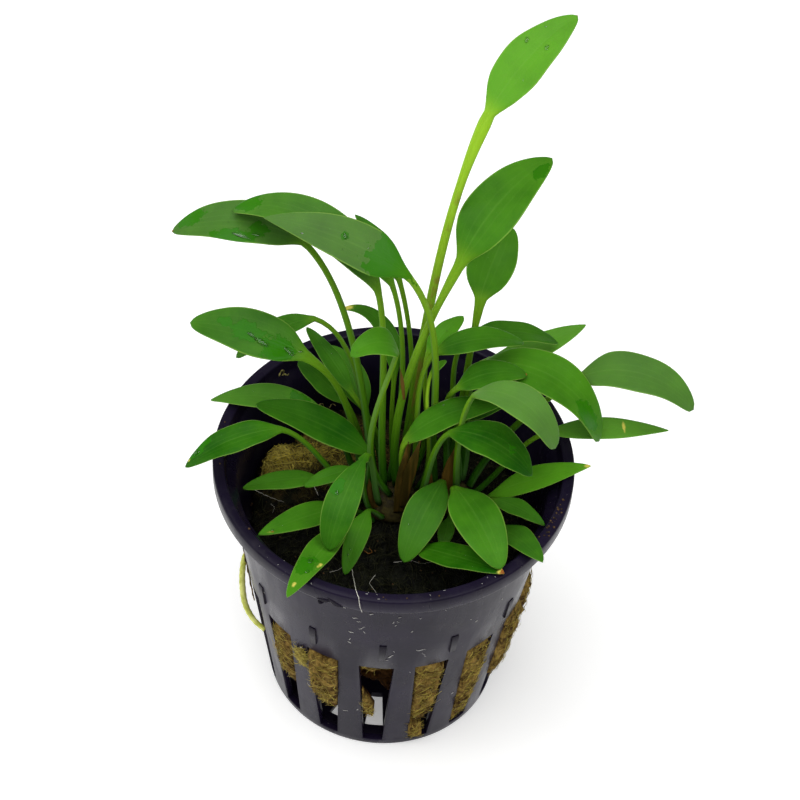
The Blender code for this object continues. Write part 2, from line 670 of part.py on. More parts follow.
def make_outside_root():
    curve = bpy.data.curves.new("outside_root", "CURVE")
    curve.dimensions = "3D"
    curve.bevel_depth = ROOT_RADIUS
    curve.bevel_resolution = 1
    curve.use_fill_caps = True
    route = smooth_route([turned(*place) for place in ROOT], ROOT_STEPS)
    spline = curve.splines.new("POLY")
    spline.points.add(len(route) - 1)
    for point, place in zip(spline.points, route):
        point.co = (*place, 1.0)
    curve.materials.append(plain_material("outside_root", ROOT_COLOUR, ROOT_ROUGHNESS))
    root = bpy.data.objects.new("outside_root", curve)
    bpy.context.scene.collection.objects.link(root)
    return root


def main():
    clear_scene()
    make_pot()
    make_wool()
    for name in CROWNS:
        make_crown(name)
    feet = leaf_feet()
    for leaf in LEAVES:
        make_leaf(leaf, *feet[leaf.name])
    make_outside_root()


main()
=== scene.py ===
"""The looks of a potted cryptocoryne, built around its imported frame.

Metres, +Z up. The origin is the centre of the pot's base, and -Y is the front. The plant's and the pot's
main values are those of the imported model, so each fine piece lies on the solid that it replaces.
"""

import json
import math
import random
from collections import namedtuple

import bmesh
import bpy
from mathutils import Matrix, Vector, noise

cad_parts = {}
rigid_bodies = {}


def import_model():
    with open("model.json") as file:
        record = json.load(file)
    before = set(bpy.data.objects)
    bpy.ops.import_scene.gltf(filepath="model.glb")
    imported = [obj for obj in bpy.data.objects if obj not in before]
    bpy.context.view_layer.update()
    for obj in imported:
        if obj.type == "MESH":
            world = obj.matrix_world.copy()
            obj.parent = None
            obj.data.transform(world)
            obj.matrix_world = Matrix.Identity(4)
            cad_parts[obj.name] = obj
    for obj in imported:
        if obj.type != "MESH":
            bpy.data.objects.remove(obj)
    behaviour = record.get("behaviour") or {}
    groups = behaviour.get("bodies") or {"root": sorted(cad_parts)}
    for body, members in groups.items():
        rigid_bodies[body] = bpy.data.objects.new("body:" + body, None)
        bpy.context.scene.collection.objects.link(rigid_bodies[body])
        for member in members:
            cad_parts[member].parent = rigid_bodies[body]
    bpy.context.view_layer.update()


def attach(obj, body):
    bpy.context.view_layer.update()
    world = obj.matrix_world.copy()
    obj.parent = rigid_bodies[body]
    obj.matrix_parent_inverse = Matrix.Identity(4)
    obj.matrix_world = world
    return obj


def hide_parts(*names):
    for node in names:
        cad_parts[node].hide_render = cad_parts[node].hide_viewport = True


for leftover in list(bpy.data.objects):
    bpy.data.objects.remove(leftover, do_unlink=True)
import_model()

# The pot
POT_HEIGHT = 0.050
RIM_RADIUS = 0.0275
MOUTH_RADIUS = 0.0257
LIP_HEIGHT = 0.0028
BASE_RADIUS = 0.0186
SHOULDER_RADIUS = 0.0252
WALL = 0.0011
FLOOR = 0.0012
EDGE = 0.0003
LIP_CORNER = 0.00035
WALL_ROWS = (0.0330, 0.0400)
INNER_STEP_DEPTH = 0.0024
INNER_STEP_SLOPE = 0.0010
SLOT_COUNT = 16
SLOT_PITCH = 360 / SLOT_COUNT
FIRST_SLOT = -91.4
SLOT_BOTTOM = 0.0015
SLOT_TOP = 0.0262
SLOT_HALF_ANGLE_BOTTOM = 4.8
SLOT_HALF_ANGLE_TOP = 7.0
HUB_RADIUS = 0.0095
OPENING_RADIUS = 0.0158
OPENING_HALF_ANGLE = 5.5
NUB_COUNT = 13
FIRST_NUB = -117.0
NUB_BOTTOM = 0.029
NUB_TOP = 0.0335
NUB_WIDTH = 0.0013
NUB_PROUD = 0.00035
NUB_SINK = 0.0006
SLOT_ROUNDING = 0.00016

# The wool plug
WOOL_EDGE_TOP = 0.0345
WOOL_TOP = 0.0381
WOOL_FLAT_RADIUS = 0.0125
WOOL_FRONT_HOLLOW = 0.0016
WOOL_HOLLOW_AT = -40.0
WOOL_GAP = 0.0003
WOOL_COLUMNS = 192
WOOL_LEVELS = 44
WOOL_TOP_STEPS = 26
WOOL_LOW_LEFT = 0.0108
WOOL_LOW_RIGHT = 0.0045
RECESS_DEPTH = 0.0045
LOBE_INNER_RADIUS = 0.0160
WOOL_EDGE_AT = 0.0235
UNDERSIDE_RADIUS = 0.0170
UNDERSIDE_RISE = 0.0015
STEM_CLEARANCE = 0.0030
SLOPE_STEP = 0.0004

# Fibres start within the first radius and end within the second, so that none comes through the wall
TOP_FIBRE_REACH = 0.0213
INSIDE_RADIUS = 0.0219
TOP_FIBRES = 5200
SLOT_FIBRES_PER_METRE = 13000
TUFT_FIBRES = 260
WOOL_CRUMBS = 260
FIBRE_TAPER = (0.6, 1.0, 1.0, 0.9, 0.4)

# The plant
Crown = namedtuple("Crown", "x y z radius_x radius_y height")
MAIN = "crown_main"
SIDE = "crown_side"
CROWNS = {
    MAIN: Crown(0.0, 0.0, 0.0385, 0.0046, 0.0036, 0.0040),
    SIDE: Crown(0.0090, 0.0020, 0.0385, 0.0034, 0.0032, 0.0036),
}
FOOT_GAP = 0.00035
FOOT_SPACING = 0.00175
FOOT_LEAN_SHARE = 0.95
FOOT_ROUNDS = 200
FOOT_LIFT = 0.002
FOOT_LOWEST = 0.05
PETIOLE_RADIUS_LEAST = 0.00028
PETIOLE_RADIUS_SHARE = 0.035
FOOT_SWELL = 1.15
NECK_TAPER = 0.80
FOOT_OUTWARD = 0.35
BASE_FORWARD = 0.6
LOW_REACH = 0.33
HIGH_REACH = 0.25
LOW_BOW = 2
HIGH_BOW = 0.5
FOLD = math.radians(7)
FINE_STEPS = 4

STRAIGHT = (0.0, 0.0)
LEAF_FIELDS = "name crown base heading turn rise fall length width roll bow"
Leaf = namedtuple("Leaf", LEAF_FIELDS, defaults=(STRAIGHT,))
LEAVES = [
    Leaf("tall_1", MAIN, (0.010, 0.0164, 0.1056), 48, -10, 50, 15, 0.0185, 0.0076, 0, (-0.0009, 0.0026)),
    Leaf("tall_2", MAIN, (0.0078, 0.0078, 0.0852), 53, -10, 52, 0, 0.0205, 0.0087, 0, (-0.0025, 0.0001)),
    Leaf("tall_3", SIDE, (0.0112, 0.0122, 0.073), 76, -10, 38, 0, 0.013, 0.0072, 0, (0.0005, 0.0026)),
    Leaf(
        "high_left_1", MAIN, (-0.0154, 0.0142, 0.0805), 172, 5, 28, -38, 0.0207, 0.0072, -15, (0.0014, 0.0002)
    ),
    Leaf("high_left_2", MAIN, (-0.004, 0.0072, 0.0787), 152, 10, 66, -42, 0.0282, 0.0067, -10),
    Leaf("high_left_3", SIDE, (0.0, 0.0038, 0.0856), 168, 2, 33, -4, 0.022, 0.0072, -20, (0.0015, 0.0007)),
    Leaf("high_left_4", MAIN, (-0.002, 0.012, 0.075), 140, 10, 52, 10, 0.013, 0.004, 0, (0.001, 0.0)),
    Leaf("high_left_5", MAIN, (-0.001, 0.015, 0.073), 130, 10, 50, 10, 0.012, 0.0035, 0, (0.001, 0.0)),
    Leaf(
        "mid_left_1", MAIN, (-0.014, 0.0036, 0.0674), 167, -2, 25, -20, 0.0185, 0.0073, -20, (0.0014, 0.0032)
    ),
    Leaf("mid_left_2", MAIN, (-0.0135, 0.015, 0.0635), 190, 10, -8, -50, 0.014, 0.004, -10, (0.0013, 0.0007)),
    Leaf("mid_left_3", MAIN, (-0.007, 0.0074, 0.0556), 132, -5, 35, 0, 0.013, 0.0031, 0, (0.001, 0.001)),
    Leaf("mid_left_4", MAIN, (-0.005, 0.0108, 0.0482), 117, 5, 30, -15, 0.0135, 0.005, 0, (0.0, 0.0005)),
    Leaf("mid_left_5", MAIN, (-0.008, 0.009, 0.0516), 147, -5, 30, 0, 0.010, 0.0045, 0, (0.0, 0.0005)),
    Leaf("mid_left_6", MAIN, (-0.0006, 0.001, 0.0722), 200, 5, 80, -55, 0.0092, 0.0052, -8, (-0.0034, 0.0)),
    Leaf("mid_left_7", MAIN, (-0.0008, 0.008, 0.0598), 95, 70, 72, -35, 0.0158, 0.0031, 0, (-0.0006, 0.0)),
    Leaf("inner_1", MAIN, (0.004, 0.0066, 0.0664), 48, 0, 42, 0, 0.008, 0.0035, 0, (0.0017, 0.0005)),
    Leaf("inner_2", MAIN, (0.005, 0.0053, 0.0681), 14, 5, 30, -36, 0.0144, 0.0048, 0, (0.0, -0.0002)),
    Leaf("back_right_1", SIDE, (0.010, 0.013, 0.064), 10, 5, 15, -42, 0.015, 0.0045, 0, (0.001, 0.0005)),
    Leaf("back_right_2", SIDE, (0.0122, 0.014, 0.057), 15, 10, 8, 20, 0.0174, 0.0048, 0),
    Leaf("right_1", SIDE, (0.0118, 0.009, 0.0614), -15, -15, 45, -80, 0.026, 0.008, 0),
    Leaf("right_2", SIDE, (0.0087, 0.0023, 0.0641), 12, 0, 46, -30, 0.0112, 0.0052, 0, (0.0, 0.0046)),
    Leaf("right_3", SIDE, (0.011, -0.0014, 0.0668), -25, -12, 54, -72, 0.0176, 0.0061, 0, (-0.0007, -0.0019)),
    Leaf("right_4", SIDE, (0.0268, 0.0092, 0.060), -5, -15, 48, -52, 0.0205, 0.0073, 5, (-0.0012, 0.0012)),
    Leaf("right_5", SIDE, (0.023, 0.0033, 0.0544), 8, 5, 5, -15, 0.019, 0.0039, 10, (0.0, 0.0007)),
    Leaf("right_6", SIDE, (0.0153, -0.0007, 0.0433), -1, 0, 42, 22, 0.017, 0.0044, 10),
    Leaf("right_7", MAIN, (0.008, -0.0033, 0.0603), -22, -5, 35, -52, 0.015, 0.007, 0, (-0.0005, -0.0005)),
    Leaf("inner_3", MAIN, (0.0015, -0.001, 0.055), 14, 3, 54, -12, 0.0163, 0.0054, 0),
    Leaf("front_1", SIDE, (0.0076, -0.0023, 0.0478), -110, -5, 15, -52, 0.015, 0.006, 0),
    Leaf("front_2", SIDE, (0.0094, -0.0054, 0.0501), -64, -2, 24, -18, 0.0174, 0.0072, 6),
    Leaf("front_3", MAIN, (-0.004, -0.0046, 0.0556), -110, 2, 20, -68, 0.0172, 0.0052, 0),
    Leaf("left_1", MAIN, (-0.004, 0.0005, 0.050), 164, 0, 33, -10, 0.019, 0.0065, 0, (-0.0003, -0.0005)),
    Leaf("left_2", MAIN, (-0.011, 0.006, 0.052), 168, 2, 18, -34, 0.019, 0.005, -5, (0.0, 0.001)),
    Leaf("left_3", MAIN, (-0.017, -0.002, 0.057), 196, 4, 8, -45, 0.016, 0.005, -5),
    Leaf("left_4", MAIN, (-0.011, -0.002, 0.046), 187, 2, 8, -22, 0.012, 0.0037, 0),
    Leaf("left_5", MAIN, (-0.006, -0.002, 0.049), 204, -2, 5, -24, 0.008, 0.003, 0),
    Leaf("left_6", MAIN, (-0.007, -0.005, 0.0437), 214, 0, 15, 1, 0.0152, 0.0048, 0),
    Leaf("front_4", MAIN, (-0.0068, -0.0101, 0.0451), -111, 0, 29, 6, 0.021, 0.0044, 0, (-0.0013, 0.0)),
    Leaf("front_5", MAIN, (-0.0034, -0.0062, 0.0443), -107, 3, 3, -38, 0.011, 0.0035, 0, (0.0002, 0.0)),
    Leaf("front_6", SIDE, (0.0042, -0.0121, 0.0436), -38, 5, 33, 16, 0.0175, 0.0052, 0, (0.0, 0.0006)),
    Leaf("front_7", SIDE, (0.009, -0.006, 0.0435), -100, 0, 0, -38, 0.005, 0.0025, 0),
    Leaf("front_8", SIDE, (0.0158, -0.0078, 0.0444), -60, 0, 44, 14, 0.0158, 0.0049, 0),
    Leaf("front_9", SIDE, (0.0155, -0.0043, 0.0466), -36, 0, 30, -10, 0.0098, 0.0033, 0),
    Leaf("new_leaf", MAIN, (0.0047, 0.0047, 0.0643), 25, 0, 55, 25, 0.003, 0.0015, 0, (0.0007, -0.0013)),
    Leaf("inner_4", SIDE, (0.010, 0.004, 0.0555), 18, 2, 28, 0, 0.007, 0.0035, 0),
]

# How blunt the tips are, how near to them the blades are widest, and how wide the blades start
USUAL_FULLNESS = 0.8
FULLNESS = {
    "tall_1": 0.65,
    "tall_2": 0.6,
    "high_left_1": 0.6,
    "high_left_3": 0.15,
    "high_left_4": 0.5,
    "high_left_5": 0.4,
    "back_right_2": 0.2,
    "right_3": 1.0,
    "right_4": 1.0,
    "right_5": 0.1,
    "right_6": 0.3,
    "right_7": 0.5,
    "left_2": 0.2,
    "left_3": 0.5,
    "left_6": 0.3,
    "front_4": 0.6,
    "front_6": 0.5,
    "front_8": 0.5,
    "front_9": 0.4,
}
USUAL_BELLY = 0.8
BELLY = {
    "tall_1": 0.85,
    "high_left_3": 0.62,
    "mid_left_6": 0.65,
    "back_right_2": 1.1,
    "right_3": 0.9,
    "right_7": 0.9,
    "front_1": 0.9,
    "front_2": 0.9,
    "front_3": 1.35,
}
USUAL_WING = 1.25
BROAD_WING = 1.8
BROAD_NECKS = ("tall_1", "tall_2", "tall_3", "mid_left_1", "right_1", "inner_3", "left_1")
SHARP_TIP = 0.85
TIP_FILL = 0.38

ROOT_RADIUS = 0.0005
ROOT = [
    (-180.0, 0.0213, 0.0252),
    (-177.5, 0.0226, 0.0248),
    (-176.0, 0.0231, 0.0215),
    (-174.0, 0.0231, 0.0180),
    (-171.0, 0.0227, 0.0150),
    (-166.5, 0.0216, 0.0132),
    (-161.0, 0.0201, 0.0125),
]


# Points, curves and meshes


def turned(angle, radius, z):
    """The point at this angle in degrees and this radius about the pot's axis."""
    return Vector((radius * math.cos(math.radians(angle)), radius * math.sin(math.radians(angle)), z))


def clamp(value):
    return min(1.0, max(0.0, value))


def smooth_step(value, low, high):
    share = clamp((value - low) / (high - low))
    return share * share * (3 - 2 * share)


def hill(x, y, at_x, at_y, wide, deep):
    """A smooth hill of height 1, seen from above."""
    return math.exp(-(((x - at_x) / wide) ** 2 + ((y - at_y) / deep) ** 2))


def level_ways(place):
    """The level way out of the pot's axis at a place, and the level way across it."""
    out = Vector((place.x, place.y, 0.0)).normalized()
    return out, Vector((-out.y, out.x, 0.0))


def way_at(route, k):
    return (route[min(k + 1, len(route) - 1)] - route[max(k - 1, 0)]).normalized()


def wall_radius(z):
    """The outer radius of the pot's tapered wall."""
    return BASE_RADIUS + (SHOULDER_RADIUS - BASE_RADIUS) * z / (POT_HEIGHT - LIP_HEIGHT)


def slot_half_angle(z):
    share = (z - SLOT_BOTTOM) / (SLOT_TOP - SLOT_BOTTOM)
    return SLOT_HALF_ANGLE_BOTTOM + (SLOT_HALF_ANGLE_TOP - SLOT_HALF_ANGLE_BOTTOM) * share


def slot_centre(slot):
    return FIRST_SLOT + SLOT_PITCH * slot


def smooth_route(points, steps):
    """A Catmull-Rom curve through the points, with this many steps from each to the next."""
    padded = [points[0] * 2 - points[1], *points, points[-1] * 2 - points[-2]]
    route = []
    for before, start, end, after in zip(padded, padded[1:], padded[2:], padded[3:]):
        for k in range(steps):
            t = k / steps
            linear = (end - before) * t
            square = (before * 2 - start * 5 + end * 4 - after) * t * t
            cube = (start * 3 - before - end * 3 + after) * t**3
            route.append(start + (linear + square + cube) / 2)
    return [*route, points[-1]]


def add_object(name, data):
    obj = bpy.data.objects.new(name, data)
    bpy.context.scene.collection.objects.link(obj)
    return obj


def dress(obj, node=None):
    """Every piece rides on the one body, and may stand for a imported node."""
    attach(obj, "root")
    if node:
        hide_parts(node)
    return obj


class Shape:
    """The points, faces and values of one mesh while it is being put together."""

    def __init__(self):
        self.points = []
        self.faces = []
        self.values = {}

    def loft(self, rings, **values):
        """A closed body through rings of points that run anticlockwise about the way they follow.

        Each value is one number for all its points, or a list with one for each.
        """
        first = len(self.points)
        sides = len(rings[0])
        for ring in rings:
            self.points.extend(ring)
        last = len(self.points) - sides
        for low in range(first, last, sides):
            for k in range(sides):
                after = (k + 1) % sides
                self.faces.append((low + k, low + after, low + sides + after, low + sides + k))
        self.faces.append(tuple(range(first + sides - 1, first - 1, -1)))
        self.faces.append(tuple(range(last, last + sides)))
        count = len(self.points) - first
        for key, value in values.items():
            self.values.setdefault(key, []).extend(value if isinstance(value, list) else [value] * count)

    def tube(self, route, radii, sides=3, **values):
        """A thin round body along a route."""
        rings = []
        side = way_at(route, 0).orthogonal().normalized()
        for k, place in enumerate(route):
            way = way_at(route, k)
            side = (side - way * way.dot(side)).normalized()
            up = way.cross(side)
            ring = []
            for j in range(sides):
                a = math.tau * j / sides
                ring.append(place + (side * math.cos(a) + up * math.sin(a)) * radii[k])
            rings.append(ring)
        self.loft(rings, **values)

    def piece(self, name, material, node=None):
        mesh = bpy.data.meshes.new(name)
        mesh.from_pydata([tuple(point) for point in self.points], [], self.faces)
        for key, numbers in self.values.items():
            mesh.attributes.new(key, "FLOAT", "POINT").data.foreach_set("value", numbers)
        mesh.materials.append(material)
        mesh.shade_smooth()
        mesh.update()
        return dress(add_object(name, mesh), node)


# Materials

PLAIN = (1.0, 1.0, 1.0)
NO_SHIFT = (0.0, 0.0, 0.0)


class Paint:
    """One Principled material. Most calls add a node to it and give the node's output."""

    def __init__(self, name, colour, roughness, specular=0.5):
        self.material = bpy.data.materials.new(name)
        self.material.use_nodes = True
        self.tree = self.material.node_tree
        self.shader = self.tree.nodes["Principled BSDF"]
        self.wear("Base Color", colour)
        self.wear("Roughness", roughness)
        self.wear("Specular IOR Level", specular)

    def put(self, socket, value):
        if isinstance(value, bpy.types.NodeSocket):
            self.tree.links.new(value, socket)
        else:
            socket.default_value = (*value, 1.0) if socket.type == "RGBA" else value

    def wear(self, name, value):
        """Sets or links one of the shader's own inputs."""
        self.put(self.shader.inputs[name], value)

    def node(self, kind, *values, **settings):
        made = self.tree.nodes.new("ShaderNode" + kind)
        for key, value in settings.items():
            setattr(made, key, value)
        for socket, value in zip(made.inputs, values):
            self.put(socket, value)
        return made

    def maths(self, operation, *values):
        return self.node("Math", *values, operation=operation).outputs[0]

    def times(self, first, second):
        return self.maths("MULTIPLY", first, second)

    def plus(self, value, share, more):
        """A share of the value, and more."""
        return self.maths("MULTIPLY_ADD", value, share, more)

    def swing(self, value, reach, middle):
        """The middle, moved either way by a value that varies about a half."""
        return self.plus(self.maths("SUBTRACT", value, 0.5), reach, middle)

    def mix(self, share, first, second, kind="MIX"):
        made = self.node("Mix", data_type="RGBA", blend_type=kind)
        for socket, value in ((0, share), (6, first), (7, second)):
            self.put(made.inputs[socket], value)
        return made.outputs[2]

    def span(self, value, low, high, to_low=0.0, to_high=1.0):
        """A smooth rise from to_low to to_high while the value goes from low to high."""
        made = self.node("MapRange", value, low, high, to_low, to_high, interpolation_type="SMOOTHSTEP")
        return made.outputs["Result"]

    def read(self, name):
        return self.node("Attribute", attribute_name=name).outputs["Fac"]

    def place(self, stretch=PLAIN):
        where = self.node("TexCoord").outputs["Object"]
        if stretch == PLAIN:
            return where
        return self.node("Mapping", where, NO_SHIFT, NO_SHIFT, stretch).outputs["Vector"]

    def height(self):
        """The height above the surface that the pot stands on."""
        return self.node("SeparateXYZ", self.place()).outputs["Z"]

    def cloud(self, scale, detail=3.0, rough=0.5, stretch=PLAIN, bend=0.0):
        made = self.node("TexNoise", self.place(stretch))
        for name, value in (("Scale", scale), ("Detail", detail), ("Roughness", rough), ("Distortion", bend)):
            made.inputs[name].default_value = value
        return made.outputs["Fac"]

    def relief(self, height, distance, strength=1.0):
        made = self.node("Bump")
        for name, value in (("Strength", strength), ("Distance", distance), ("Height", height)):
            self.put(made.inputs[name], value)
        self.wear("Normal", made.outputs["Normal"])


def leaf_material():
    paint = Paint("leaf_tissue", (0.05, 0.19, 0.01), 0.4, 0.06)
    along = paint.read("leaf_along")
    across = paint.read("leaf_across")
    off_middle = paint.maths("ABSOLUTE", across)
    mottle = paint.cloud(260, 3.0, 0.55)
    grain = paint.cloud(2600, 3.0, 0.6)

    share = paint.swing(mottle, 0.55, paint.read("leaf_tone"))
    share = paint.swing(paint.cloud(75, 2.0), 0.75, share)
    colour = paint.mix(share, (0.011, 0.090, 0.001), (0.120, 0.350, 0.014))
    grainy = paint.mix(paint.swing(grain, 0.5, 0.5), (0.02, 0.11, 0.0), (0.14, 0.33, 0.04))
    colour = paint.mix(0.35, colour, grainy, "SOFT_LIGHT")

    # veins run beside the midrib and close up towards the tip
    waves = paint.maths("SINE", paint.times(paint.plus(mottle, 0.10, across), 22.0))
    veins = paint.times(paint.span(waves, 0.55, 1.0), paint.span(off_middle, 0.85, 0.3))
    colour = paint.mix(paint.times(veins, 0.06), colour, (0.16, 0.36, 0.05))
    midrib = paint.times(paint.span(off_middle, 0.075, 0.015), paint.span(along, 1.0, 0.1))
    colour = paint.mix(paint.times(midrib, 0.07), colour, (0.20, 0.42, 0.06))
    # painted sheen: a greyish veil on the blades that would mirror the top light
    colour = paint.mix(paint.times(paint.read("leaf_pale"), 0.6), colour, (0.15, 0.25, 0.080))
    edge = paint.times(paint.span(off_middle, 0.93, 0.995), paint.span(along, -0.02, 0.12))
    colour = paint.mix(paint.times(edge, 0.50), colour, (0.30, 0.48, 0.08))

    # the stalk is yellower higher up and darker towards its foot: partly its own colour, partly painted shade
    stalk_yellow_and_shade = paint.times(paint.read("leaf_stalk"), paint.span(along, -1.0, -0.2, 0.18, 1.0))
    stalk = paint.mix(stalk_yellow_and_shade, (0.016, 0.120, 0.002), (0.34, 0.60, 0.026))
    stalk = paint.mix(paint.times(mottle, 0.25), stalk, (0.05, 0.14, 0.006))
    # painted shade: the stalks darken low down near the wool, where they crowd together
    foot = paint.times(paint.span(paint.height(), 0.056, 0.043), 0.70)
    stalk = paint.mix(foot, stalk, (0.013, 0.075, 0.003))
    colour = paint.mix(paint.span(along, 0.16, -0.10), colour, stalk)
    streak = paint.times(paint.read("leaf_streak"), paint.span(mottle, 0.42, 0.60))
    colour = paint.mix(streak, colour, (0.22, 0.10, 0.03))
    under = paint.read("leaf_under")
    colour = paint.mix(paint.times(under, 0.45), colour, (0.10, 0.22, 0.06))

    # a thin film of water lies in ragged patches
    wet = paint.swing(paint.cloud(900, 3.0, 0.6), 1.1, paint.read("leaf_wet"))
    wet = paint.span(wet, 0.47, 0.53)
    colour = paint.mix(paint.times(wet, 0.75), colour, (0.020, 0.155, 0.001))
    spot = paint.cloud(1500, 4.0, 0.65)
    yellow = paint.span(paint.swing(spot, 0.8, paint.read("leaf_yellow")), 0.35, 0.75)
    colour = paint.mix(yellow, colour, (0.62, 0.55, 0.10))
    brown = paint.span(paint.swing(spot, 0.6, paint.read("leaf_brown")), 0.40, 0.70)
    colour = paint.mix(brown, colour, (0.28, 0.10, 0.02))
    pores = paint.times(paint.span(paint.cloud(5200, 2.0), 0.70, 0.78), 0.30)
    paint.wear("Base Color", paint.mix(pores, colour, (0.20, 0.40, 0.12)))

    rough = paint.span(paint.cloud(420, 2.0), 0.3, 0.7, 0.34, 0.50)
    rough = paint.plus(wet, -0.30, paint.plus(under, 0.12, rough))
    paint.wear("Roughness", paint.maths("MAXIMUM", rough, 0.10))
    paint.wear("Subsurface Weight", 0.12)
    paint.wear("Subsurface Radius", (0.35, 1.0, 0.10))
    paint.wear("Subsurface Scale", 0.0006)
    height = paint.plus(midrib, -0.35, paint.plus(veins, -0.10, paint.times(grain, 0.6)))
    paint.relief(paint.plus(wet, 0.9, height), 0.00006, 0.8)
    return paint.material


def pot_material(name, colour, dusty):
    paint = Paint(name, colour, 0.34, 0.09)
    lighter = tuple(part * 1.7 + 0.001 for part in colour)
    shade = paint.mix(paint.span(paint.cloud(90), 0.3, 0.75), colour, lighter)
    haze = paint.span(paint.cloud(300, 4.0, 0.6), 0.50, 0.80)
    shade = paint.mix(paint.times(haze, 0.10 * dusty), shade, (0.10, 0.092, 0.088))
    specks = paint.span(paint.cloud(3100, 2.0), 0.735, 0.765)
    paint.wear("Base Color", paint.mix(paint.times(specks, 0.35 * dusty), shade, (0.32, 0.31, 0.29)))
    scratch = paint.cloud(240, 3.0, 0.6, (1.0, 1.0, 0.22))
    paint.wear("Roughness", paint.plus(specks, 0.3, paint.span(scratch, 0.30, 0.72, 0.22, 0.36)))
    paint.relief(paint.plus(paint.cloud(1400, 3.0, 0.6), 0.5, scratch), 0.00004, 0.5)
    return paint.material


def wool_material():
    paint = Paint("wool_mat", (0.2, 0.14, 0.05), 0.9, 0.08)
    clumps = paint.cloud(420, 4.0, 0.62, bend=0.6)
    strands = paint.cloud(1500, 4.0, 0.7, (1.0, 1.0, 0.35), 1.2)
    mixed = paint.plus(clumps, 0.6, paint.times(strands, 0.4))
    wet = paint.read("wool_wet")
    colour = paint.mix(paint.span(mixed, 0.40, 0.61), (0.052, 0.028, 0.006), (0.34, 0.225, 0.055))
    ochre = paint.mix(paint.span(mixed, 0.38, 0.60), (0.040, 0.030, 0.003), (0.92, 0.74, 0.08))
    colour = paint.mix(paint.read("wool_ochre"), colour, ochre)
    soaked = paint.mix(paint.span(mixed, 0.40, 0.66), (0.0012, 0.0013, 0.0009), (0.011, 0.012, 0.006))
    colour = paint.mix(wet, colour, soaked)
    # painted shade: a dark red-brown where the wool lies in the pot's shade; on the slot bulges also darker
    # brown patches
    deep = paint.mix(paint.span(mixed, 0.38, 0.64), (0.016, 0.005, 0.001), (0.11, 0.047, 0.011))
    paint.wear("Base Color", paint.mix(paint.read("wool_deep"), colour, deep))
    paint.wear("Roughness", paint.plus(wet, -0.42, 0.92))
    paint.relief(mixed, 0.0006)
    return paint.material


def fibre_material():
    paint = Paint("fibre_mat", (0.4, 0.3, 0.08), 0.6, 0.12)
    tone = paint.read("fibre_tone")
    colour = paint.mix(tone, (0.060, 0.036, 0.006), (0.90, 0.74, 0.14))
    colour = paint.mix(paint.span(paint.cloud(700, 2.0), 0.35, 0.65, 0.0, 0.4), colour, (0.16, 0.10, 0.02))
    dark = paint.mix(tone, (0.004, 0.004, 0.002), (0.060, 0.062, 0.025))
    paint.wear("Base Color", paint.mix(paint.read("wool_wet"), colour, dark))
    paint.wear("Roughness", paint.span(tone, 0.0, 1.0, 0.45, 0.75))
    return paint.material


def plant_matter(name, low, high, scale, roughness, stretch=PLAIN, bump=0.0002):
    """Brown sheaths, roots, stem, dust and dirt: two colours in streaks."""
    paint = Paint(name, high, roughness, 0.2)
    streaks = paint.cloud(scale, 4.0, 0.6, stretch, 0.5)
    paint.wear("Base Color", paint.mix(paint.span(streaks, 0.32, 0.68), low, high))
    paint.wear("Roughness", paint.span(streaks, 0.2, 0.8, roughness - 0.12, roughness + 0.12))
    paint.relief(streaks, bump, 0.7)
    return paint.material


def water_material():
    paint = Paint("water_drop", PLAIN, 0.02)
    paint.wear("Transmission Weight", 1.0)
    paint.wear("IOR", 1.33)
    paint.wear("Roughness", paint.span(paint.cloud(700, 1.0), 0.3, 0.7, 0.01, 0.05))
    return paint.material


# The pot


def rounded_profile():
    """Rows of (radius, z, kind of row): up the outside, over the rounded lip and down the inside."""
    lip_bottom = POT_HEIGHT - LIP_HEIGHT
    step_top = POT_HEIGHT - INNER_STEP_DEPTH
    step_bottom = step_top - INNER_STEP_SLOPE

    def wall_row(z, kind, depth=0.0):
        return wall_radius(z) - depth, z, kind

    def corner(radius, z, side, angles):
        """A rounded corner of the lip about a place, outside (1) or inside (-1)."""
        rows = []
        for a in map(math.radians, angles):
            rows.append((radius + side * LIP_CORNER * math.cos(a), z + LIP_CORNER * math.sin(a), "even"))
        return rows

    return [
        (HUB_RADIUS, 0.0, "opening"),
        (OPENING_RADIUS, 0.0, "opening"),
        (BASE_RADIUS - EDGE, 0.0, "low"),
        (wall_radius(EDGE) - EDGE * 0.3, EDGE * 0.3, "low"),
        wall_row(EDGE, "low"),
        wall_row(SLOT_BOTTOM, "low"),
        wall_row(SLOT_TOP, "high"),
        *(wall_row(z, "even") for z in WALL_ROWS),
        (SHOULDER_RADIUS - 0.00035, lip_bottom - 0.0018, "even"),
        (SHOULDER_RADIUS - 0.00015, lip_bottom - 0.0006, "even"),
        (SHOULDER_RADIUS + 0.00030, lip_bottom - 0.0001, "even"),
        (SHOULDER_RADIUS + 0.00120, lip_bottom, "even"),
        *corner(RIM_RADIUS - LIP_CORNER, lip_bottom + LIP_CORNER, 1, (-90, -45, 0)),
        *corner(RIM_RADIUS - LIP_CORNER, POT_HEIGHT - LIP_CORNER, 1, (0, 30, 60, 90)),
        *corner(MOUTH_RADIUS + LIP_CORNER, POT_HEIGHT - LIP_CORNER, -1, (90, 60, 30, 0)),
        (MOUTH_RADIUS - EDGE * 0.9, step_top + 0.0001, "even"),
        (MOUTH_RADIUS - EDGE * 1.3, step_top - 0.0001, "even"),
        wall_row(step_bottom, "even", WALL),
        *(wall_row(z, "even", WALL) for z in reversed(WALL_ROWS)),
        wall_row(SLOT_TOP, "high", WALL),
        wall_row(SLOT_BOTTOM, "low", WALL),
        (wall_radius(SLOT_BOTTOM) - WALL - EDGE, FLOOR, "low"),
        (OPENING_RADIUS, FLOOR, "opening"),
        (HUB_RADIUS, FLOOR, "opening"),
    ]


